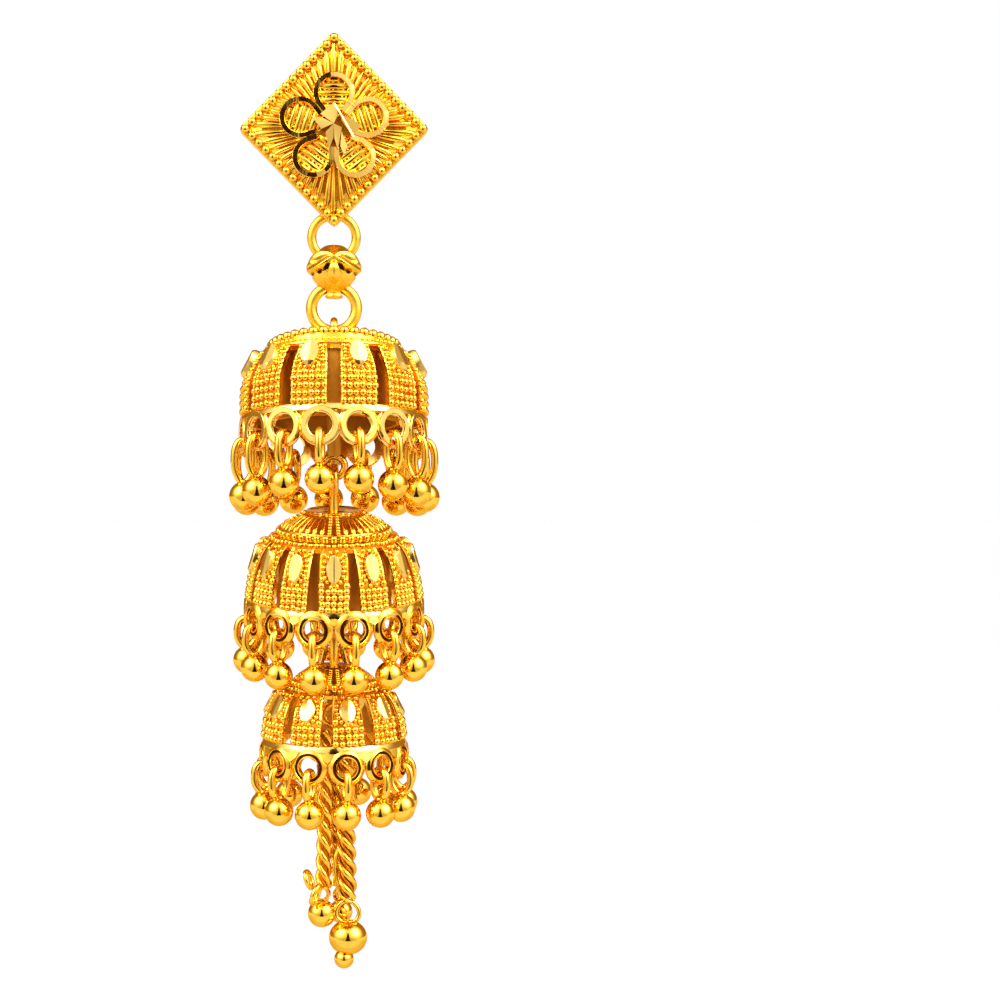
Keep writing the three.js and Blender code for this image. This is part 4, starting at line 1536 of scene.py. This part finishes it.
def hanger(bell, gold):
    """What hangs upright: the loop on the crown, and the rod and eye inside."""
    tier = bell.tier
    crown_z = tier["rise"] + tier["crown_top"] - WALL / 2
    rod = [(0.0, HANG_Y, crown_z), (0.0, HANG_Y, tier["eye_z"] + EYE)]
    eye = circle_path(EYE, 40, (0.0, HANG_Y, tier["eye_z"]))
    pieces = [wires(bell.key + "_rod", [rod], ROD, gold["gold_inside"], False, 20),
              wires(bell.key + "_eye", [eye], EYE_WIRE, gold["gold_wire"], True)]
    if bell.key == "upper":
        foot = LOWER_RING["z"] - LOWER_RING["radius"]
        half, wire = LOWER_RING["wire"] / 2 + PLAY + STAPLE_WIRE / 2 + 0.06, 0.58
    else:
        half, wire = 0.95, 0.75
        foot = tier["loop_z"] - half
    if bell.key == "lower":
        pieces.append(wire_knot(crown_z + WALL, gold))
    arch = [(x, HANG_Y + y, foot + z) for x, y, z in arch_path(half, foot - crown_z)]
    pieces.append(wires(bell.key + "_loop", [arch], wire, gold["gold_wire"]))
    return pieces


def wire_knot(z, gold):
    """Turns of thin wire wound by hand round the foot of the lowest bell's loop."""
    rng = np.random.default_rng(SEED + 3)
    winding, steps = [], 90
    for k in range(steps):
        a = math.radians(24 * k)
        wide = 1.25 - 0.35 * k / steps + rng.uniform(-0.07, 0.07)
        winding.append((wide * math.cos(a), HANG_Y + 0.62 * math.sin(a),
                        z + 0.2 + 0.95 * k / steps + 0.14 * math.sin(0.7 * a)))
    # The wire's two ends stand out in front.
    ends = [[(side * (0.5 + 0.5 * t), HANG_Y - 0.75 - 0.1 * math.sin(3 * t),
              z + 1.5 - 1.3 * t + 0.2 * math.sin(5 * t)) for t in np.linspace(0, 1.1, 12)]
            for side in (-1, 1)]
    return wires("lower_knot", [winding, *ends], 0.34, gold["gold_granules"], False, 8)


def build_bell(key, size):
    """All that is soldered into one bell, as four pieces."""
    bell, gold = Bell(key), finishes()
    body, node = bell.tier["body"], bell.tier["node"]
    parts = [pierced_wall(bell, gold), slot_lips(bell, gold), *skirt(bell, gold)]
    if "liner" in bell.tier:
        parts.append(liner_cup(bell, gold))
    wall = join(key + "_bell_wall", parts)
    settle(wall, body, "granulated_gold", node)
    top = join(key + "_bell_crown", crown(bell, gold, size) + hanger(bell, gold))
    settle(top, body, "granulated_gold")

    z, lean, long, wide = bell.tier["leaf"]
    leaf = leaf_model("leaf_model", bell.tier["style"], long, wide)
    places = [bell.place(a, z, bell.tier["leaf_out"], lean) for a, _ in bell.panels()]
    leaves = copies(key + "_bell_leaves", leaf, places, gold["gold_leaf"])
    settle(leaves, body, "granulated_gold")

    grain = Shape().add(sphere(0.5 * size.granule / MM, 10, 6)).mesh("grain_model", crease=180)
    granules = copies(key + "_bell_granules", grain, granule_spots(bell),
                      gold["gold_granules"], size.granule_variation)
    settle(granules, body, "granulated_gold")


def drop_model(tier, wire, extra):
    """A ball on a long loop. The origin is the middle of the ring it hangs from."""
    reach, radius = tier["reach"] + extra, tier["ball"] / 2
    loop_top = -tier["hole"] / 2 + 2 * PLAY + wire / 2
    loop_low = -reach + radius - 0.1
    half_height = (loop_top - loop_low) / 2
    path = oval_path(0.8, half_height, (0.0, 0.0, loop_top - half_height))
    shape = Shape().add(sphere(radius, 32, 20, (0.0, 0.0, -reach)))
    shape.add(tube(path, wire / 2, 12, True))
    fillet = [(x, y, -reach + radius - 0.02) for x, _, y in circle_path(0.3, 14)]
    shape.add(tube(fillet, 0.13, 8, True))
    return shape.mesh("drop_model", crease=60)


class JHUMKA_OT_bells(bpy.types.Operator):
    """Makes the three bells: wall, skirt, crown, leaves and granules."""

    bl_idname = "jhumka.bells"
    bl_label = "Bells"

    def execute(self, context):
        for key in TIERS:
            build_bell(key, context.scene.jhumka_bells)
        return {"FINISHED"}


class JHUMKA_OT_drops(bpy.types.Operator):
    """Makes the ball drops that hang from the bells' skirts."""

    bl_idname = "jhumka.drops"
    bl_label = "Ball drops"

    def execute(self, context):
        size, gold = context.scene.jhumka_bells, finishes()
        for key, tier in TIERS.items():
            bell, places = Bell(key), {}
            for degrees, ring in zip(bell.skirt_turns(), bell.skirt_places()):
                # The loops towards the sides were made longer.
                aside = abs(math.sin(math.radians(degrees)))
                extra = float(np.interp(aside, (0.3, 0.9), tier["extra"]))
                places.setdefault(round(extra, 1), []).append(
                    moved(*ring.to_translation()) @ turned(degrees))
            sets = [copies(f"{key}_drops_{i}", drop_model(tier, size.drop_wire / MM, extra),
                           upright, gold["gold_polished"])
                    for i, (extra, upright) in enumerate(places.items())]
            made = join(key + "_drops", sets)
            nodes = [f"{key}_drop_{k + 1:02d}" for k in range(tier["rings"])]
            settle(made, tier["body"], "polished_gold", *nodes)
        return {"FINISHED"}


# ---- tassel ------------------------------------------------------------------------------

STRANDS = 3
# Each rope's middle line, from the hanging plane, and its width.
ROPES = {
    "left": ([(-0.75, 0, -47.95), (-0.7, 0, -54), (-0.85, 0, -60.4)], 1.35),
    "right": ([(0.8, 0, -47.95), (0.9, 0, -54), (1.05, 0, -61.3)], 1.66),
    "back": ([(0, 1.35, -47.95), (0, 1.35, -54), (0.3, 1.35, -60.5)], 1.0),
}
# Balls on an eye: x, y, z, radius of the ball, radius of the eye.
ROPE_BALLS = {"left": (-0.98, -0.2, -62.53, 1.12, 0.55), "back": (0.55, 1.35, -62.6, 0.95, 0.5)}
# Loose links: x, y, z, lean in degrees, radius.
ROPE_LINKS = {"upper": (-2.0, -0.6, -59.8, -20, 0.5), "lower": (-1.45, -1.4, -60.85, 22, 0.56)}
# The bow of wire that the end drop hangs from, as x and z from its middle, and the end of
# its wire, which runs up along the rope.
BOW_MIDDLE = (1.08, -62.45)
BOW = [(-0.45, 0.8), (0.42, 0.8), (0.9, 0.15), (0.8, -0.5), (0.1, -0.86), (-0.75, -0.55),
       (-0.93, 0.1)]
BOW_END = [(1.75, 0.0, -61.75), (1.2, -0.1, -61.55), (0.55, -0.25, -61.1),
           (0.2, -0.35, -60.2), (0.05, -0.4, -59.0), (0.12, -0.35, -58.0), (0.3, -0.2, -57.4)]


def eyed_ball(x, y, z, radius, eye, wire=0.36):
    """A ball that hangs from a small ring of wire."""
    shape = Shape().add(sphere(radius, 36, 22, (x, HANG_Y + y, z)))
    centre = (x, HANG_Y + y, z + radius + eye - 0.12)
    return shape.add(tube(circle_path(eye, 28, centre), wire / 2, 10, True))


class JHUMKA_OT_tassel(bpy.types.Operator):
    """Makes the rope chains under the lowest bell and what hangs on their ends."""

    bl_idname = "jhumka.tassel"
    bl_label = "Tassel"

    def execute(self, context):
        size, gold = context.scene.jhumka_tassel, finishes()
        for name, (spine, wide) in ROPES.items():
            line = smooth_line([(x, HANG_Y + y, z) for x, y, z in spine], 10)
            thick = size.strand / MM * min(1.0, wide / 1.4)
            reach = (wide - thick) / 2
            # The strands between and the core take the ground's gold: painted shade in the gaps
            # between the outer strands.
            parts = [
                self.rope(f"rope_{name}_outer", line, thick, reach, size.lay, 0.0,
                          gold["gold_wire"]),
                self.rope(f"rope_{name}_between", line, 0.5 * thick, reach - 0.14, size.lay,
                          math.pi / STRANDS, gold["gold_ground"]),
                wires(f"rope_{name}_core", [line], 0.3 * wide, gold["gold_ground"])]
            settle(join("rope_" + name, parts), "lower_dome", "wire_gold",
                   "tassel_chain_" + name)
        for name, values in ROPE_BALLS.items():
            made = eyed_ball(*values).piece("rope_ball_" + name, [gold["gold_polished"]])
            settle(made, "lower_dome", "polished_gold", "tassel_ball_" + name)
        self.end_drop(gold)
        for name, (x, y, z, lean, radius) in ROPE_LINKS.items():
            place = (moved(x, HANG_Y + y, z) @ turned(lean, "Y")
                     @ Matrix.Diagonal((1.0, 1.0, 1.35, 1.0)) @ turned(70))
            ring = [tuple(place @ Vector(p)) for p in circle_path(radius, 36)]
            made = wires("rope_link_" + name, [ring], 0.42, gold["gold_wire"], True)
            settle(made, "lower_dome", "wire_gold", "tassel_link_" + name)
        return {"FINISHED"}

    def rope(self, name, line, wire, reach, lay, start, material):
        """Left-handed strands round a line, the first one starting at an angle."""
        return grown(name, paths(name, [line]), rope_tree(), {
            "Strands": STRANDS, "Wire": wire * MM, "Reach": reach * MM, "Lay": -lay,
            "Start": start, "Sides": 12, "Points": 150, "Material": material})

    def end_drop(self, gold):
        """The large bead with a small one under it, and the bow that it hangs from."""
        y = HANG_Y - 0.2
        shape = Shape().add(sphere(1.0, 44, 28), 0, moved(1.12, y, -64.44)
                            @ Matrix.Diagonal((1.54, 1.54, 1.4, 1.0)))
        shape.add(sphere(0.79, 32, 20, (0.8, y, -66.15)))
        for x, z, radius, wire in ((1.1, -63.2, 0.42, 0.3), (0.87, -65.62, 0.3, 0.22)):
            ring = [(x + px, y + pz, z) for px, _, pz in circle_path(radius, 24)]
            shape.add(tube(ring, wire / 2, 10, True))
        steps, (middle, level) = 7, BOW_MIDDLE
        bow = smooth_line([(middle + a, y, level + b) for a, b in BOW + BOW[:3]], steps)
        shape.add(tube(bow[steps:steps * (len(BOW) + 1)], 0.19, 12, True))
        end = smooth_line([(x, y + deep, z) for x, deep, z in BOW_END], 6)
        shape.add(tube(end, 0.13, 10))
        made = shape.piece("rope_end_drop", [gold["gold_polished"]], crease=60)
        settle(made, "lower_dome", "polished_gold", "tassel_end_drop")


# ---- stage -------------------------------------------------------------------------------

def plain_material(name, value, glow):
    """An even material for the stage, with a faint drift so it isn't one flat colour."""
    board = Surface(name)
    drift = board.noise(3.0, 2.0)
    tone = board.mix(drift * 0.3, rgba(value), rgba(tuple(0.97 * c for c in value)))
    shader = board.node("ShaderNodeBsdfPrincipled", None, {
        "Base Color": tone, "Roughness": 0.8, "Emission Color": rgba(value),
        "Emission Strength": glow, "Specular IOR Level": 0.1}).wire()
    board.node("ShaderNodeOutputMaterial", None, {"Surface": shader})
    return board.material


def flat_card(name, corners, material, seen):
    """A card of the stage, given by its corners in millimetres."""
    card = Shape().add((corners, [tuple(range(len(corners)))])).piece(name, [material])
    card.visible_camera = card.visible_diffuse = card.visible_shadow = seen
    return card


def mirrored(half):
    """A whole outline from its right half, given from one end to the other."""
    return half + [(-a, b) for a, b in half[::-1]]


# The right halves of two outlines, in millimetres: the floor's in X and Y, and that of
# the dark card where the camera stands, in X and Z. The gold mirrors both.
FLOOR_EDGE = [(34, -76), (110, -92), (300, -150), (1500, -420), (2600, 5000)]
DARK_EDGE = [(22, 215), (60, -60), (150, -290), (420, -330), (420, -520)]
DARK_Y = -330
CLOTH_EDGE = [(90, -8), (90, 90)]
CLOTH_LIFT = 2  # over the floor
CLOTH_COLOUR = (0.4, 0.36, 0.3)
DARK_COLOUR = (0.03, 0.013, 0.003)
CAMERA_SHIFT = (0.166, -0.01)  # the earring hangs left of the middle of the picture

# The room's light by direction. It is brightest in front; the back and the ceiling take
# something off, and a low window and the wall straight back add something.
ROOM_GLOW, BACK_DIM, CEILING_DIM, WINDOW_GLOW, WALL_GLOW = 0.73, 0.35, 0.1, 0.22, 0.4
BOX_AIM = (0.64, -0.40, 0.65)  # towards the right soft box; the left one mirrors it
BOX_POWERS = {-1: 0.85, 1: 1.0}  # of the left and of the right soft box
BOX_HALO, BOX_GLOW = 1.1, 8.5
DIM_LIGHT, BRIGHT_LIGHT = (1.0, 0.62, 0.3), (1.0, 0.985, 0.95)


class JHUMKA_OT_stage(bpy.types.Operator):
    """Sets the floor, the studio light and the camera."""

    bl_idname = "jhumka.stage"
    bl_label = "Stage"

    def execute(self, context):
        size, scene = context.scene.jhumka_stage, context.scene
        floor_z = (cad_box[0].z - size.drop) / MM
        paper = plain_material("floor_paper", size.floor, 0.05)
        flat_card("floor", [(x, y, floor_z) for x, y in mirrored(FLOOR_EDGE)], paper, True)
        cloth = plain_material("grey_cloth", CLOTH_COLOUR, 0.0)
        flat_card("cloth", [(x, y, floor_z + CLOTH_LIFT) for x, y in mirrored(CLOTH_EDGE)],
                  cloth, False)
        dark = plain_material("black_card", DARK_COLOUR, 0.0)
        flat_card("camera_gap", [(x, DARK_Y, z) for x, z in mirrored(DARK_EDGE)], dark, False)
        self.light_room(scene)

        camera = new_object("camera", bpy.data.cameras.new("camera"))
        camera.location = (0.0, HANG_Y * MM - size.distance, size.view_height)
        camera.rotation_euler = (math.pi / 2, 0.0, 0.0)
        camera.data.lens = camera.data.sensor_width * size.distance / size.view_width
        camera.data.shift_x, camera.data.shift_y = CAMERA_SHIFT
        camera.data.clip_start, camera.data.clip_end = 0.01, 20.0
        scene.camera = camera
        scene.view_settings.view_transform = "Standard"
        return {"FINISHED"}

    def light_room(self, scene):
        """White to the eye. In reflections it is dim, with two soft boxes up at the sides."""
        world = bpy.data.worlds.new("white_room")
        world.use_nodes = True
        scene.world = world
        board = Board(world.node_tree)
        board.tree.nodes.clear()
        way = board.node("ShaderNodeTexCoord").wire("Generated")
        parts = board.node("ShaderNodeSeparateXYZ", None, {0: way})
        behind, height = parts.wire("Y"), parts.wire("Z")
        glow = (ROOM_GLOW - behind.between(-0.35, 0.45) * BACK_DIM
                - height.between(0.5, 0.95) * CEILING_DIM)
        window = height.between(0.1, 0.22) * height.between(0.46, 0.3)
        glow = glow + window * behind.between(0.1, -0.5) * WINDOW_GLOW
        glow = glow + behind.between(0.90, 0.96) * WALL_GLOW
        for side, power in BOX_POWERS.items():
            aim = Vector((side * BOX_AIM[0], *BOX_AIM[1:])).normalized()
            near = board.node("ShaderNodeVectorMath", {"operation": "DOT_PRODUCT"}, {
                0: way, 1: tuple(aim)}).wire("Value")
            glow = glow + near.between(0.6, 0.93) ** 1.5 * (BOX_HALO * power)
            glow = glow + near.between(0.885, 0.975) * (BOX_GLOW * power)
        # The dim parts of the room are warm, as if lit by the gold itself.
        tone = board.mix(glow.between(0.35, 0.95), rgba(DIM_LIGHT), rgba(BRIGHT_LIGHT))
        room = board.node("ShaderNodeBackground", None, {
            "Color": tone, "Strength": glow}).wire()
        white = board.node("ShaderNodeBackground", None, {"Color": rgba((1, 1, 1))}).wire()
        eye = board.node("ShaderNodeLightPath").wire("Is Camera Ray")
        both = board.node("ShaderNodeMixShader", None, {0: eye, 1: room, 2: white}).wire()
        board.node("ShaderNodeOutputWorld", None, {"Surface": both})


# ---- panel and registration --------------------------------------------------------------

STEPS = ["stud", "post", "links", "bells", "drops", "tassel", "stage"]
SETTINGS = {
    "jhumka_finish": JHUMKA_PG_finish, "jhumka_stud": JHUMKA_PG_stud,
    "jhumka_links": JHUMKA_PG_links, "jhumka_bells": JHUMKA_PG_bells,
    "jhumka_tassel": JHUMKA_PG_tassel, "jhumka_stage": JHUMKA_PG_stage,
}


class JHUMKA_PT_panel(bpy.types.Panel):
    """Lists the steps that build the earring, and their settings."""

    bl_idname = "JHUMKA_PT_panel"
    bl_label = "Jhumka earring"
    bl_space_type = "VIEW_3D"
    bl_region_type = "UI"
    bl_category = "Jhumka"

    def draw(self, context):
        for step in STEPS:
            self.layout.operator("jhumka." + step)
        for name, group in SETTINGS.items():
            box = self.layout.box()
            settings = getattr(context.scene, name)
            for key in group.__annotations__:
                box.prop(settings, key)


CLASSES = [*SETTINGS.values(), JHUMKA_OT_stud, JHUMKA_OT_post, JHUMKA_OT_links,
           JHUMKA_OT_bells, JHUMKA_OT_drops, JHUMKA_OT_tassel, JHUMKA_OT_stage,
           JHUMKA_PT_panel]


def register():
    for item in CLASSES:
        bpy.utils.register_class(item)
    for name, group in SETTINGS.items():
        setattr(bpy.types.Scene, name, bpy.props.PointerProperty(type=group))


def unregister():
    for name in SETTINGS:
        delattr(bpy.types.Scene, name)
    for item in reversed(CLASSES):
        bpy.utils.unregister_class(item)


def main():
    register()
    for step in STEPS:
        getattr(bpy.ops.jhumka, step)()


if __name__ == "__main__":
    main()
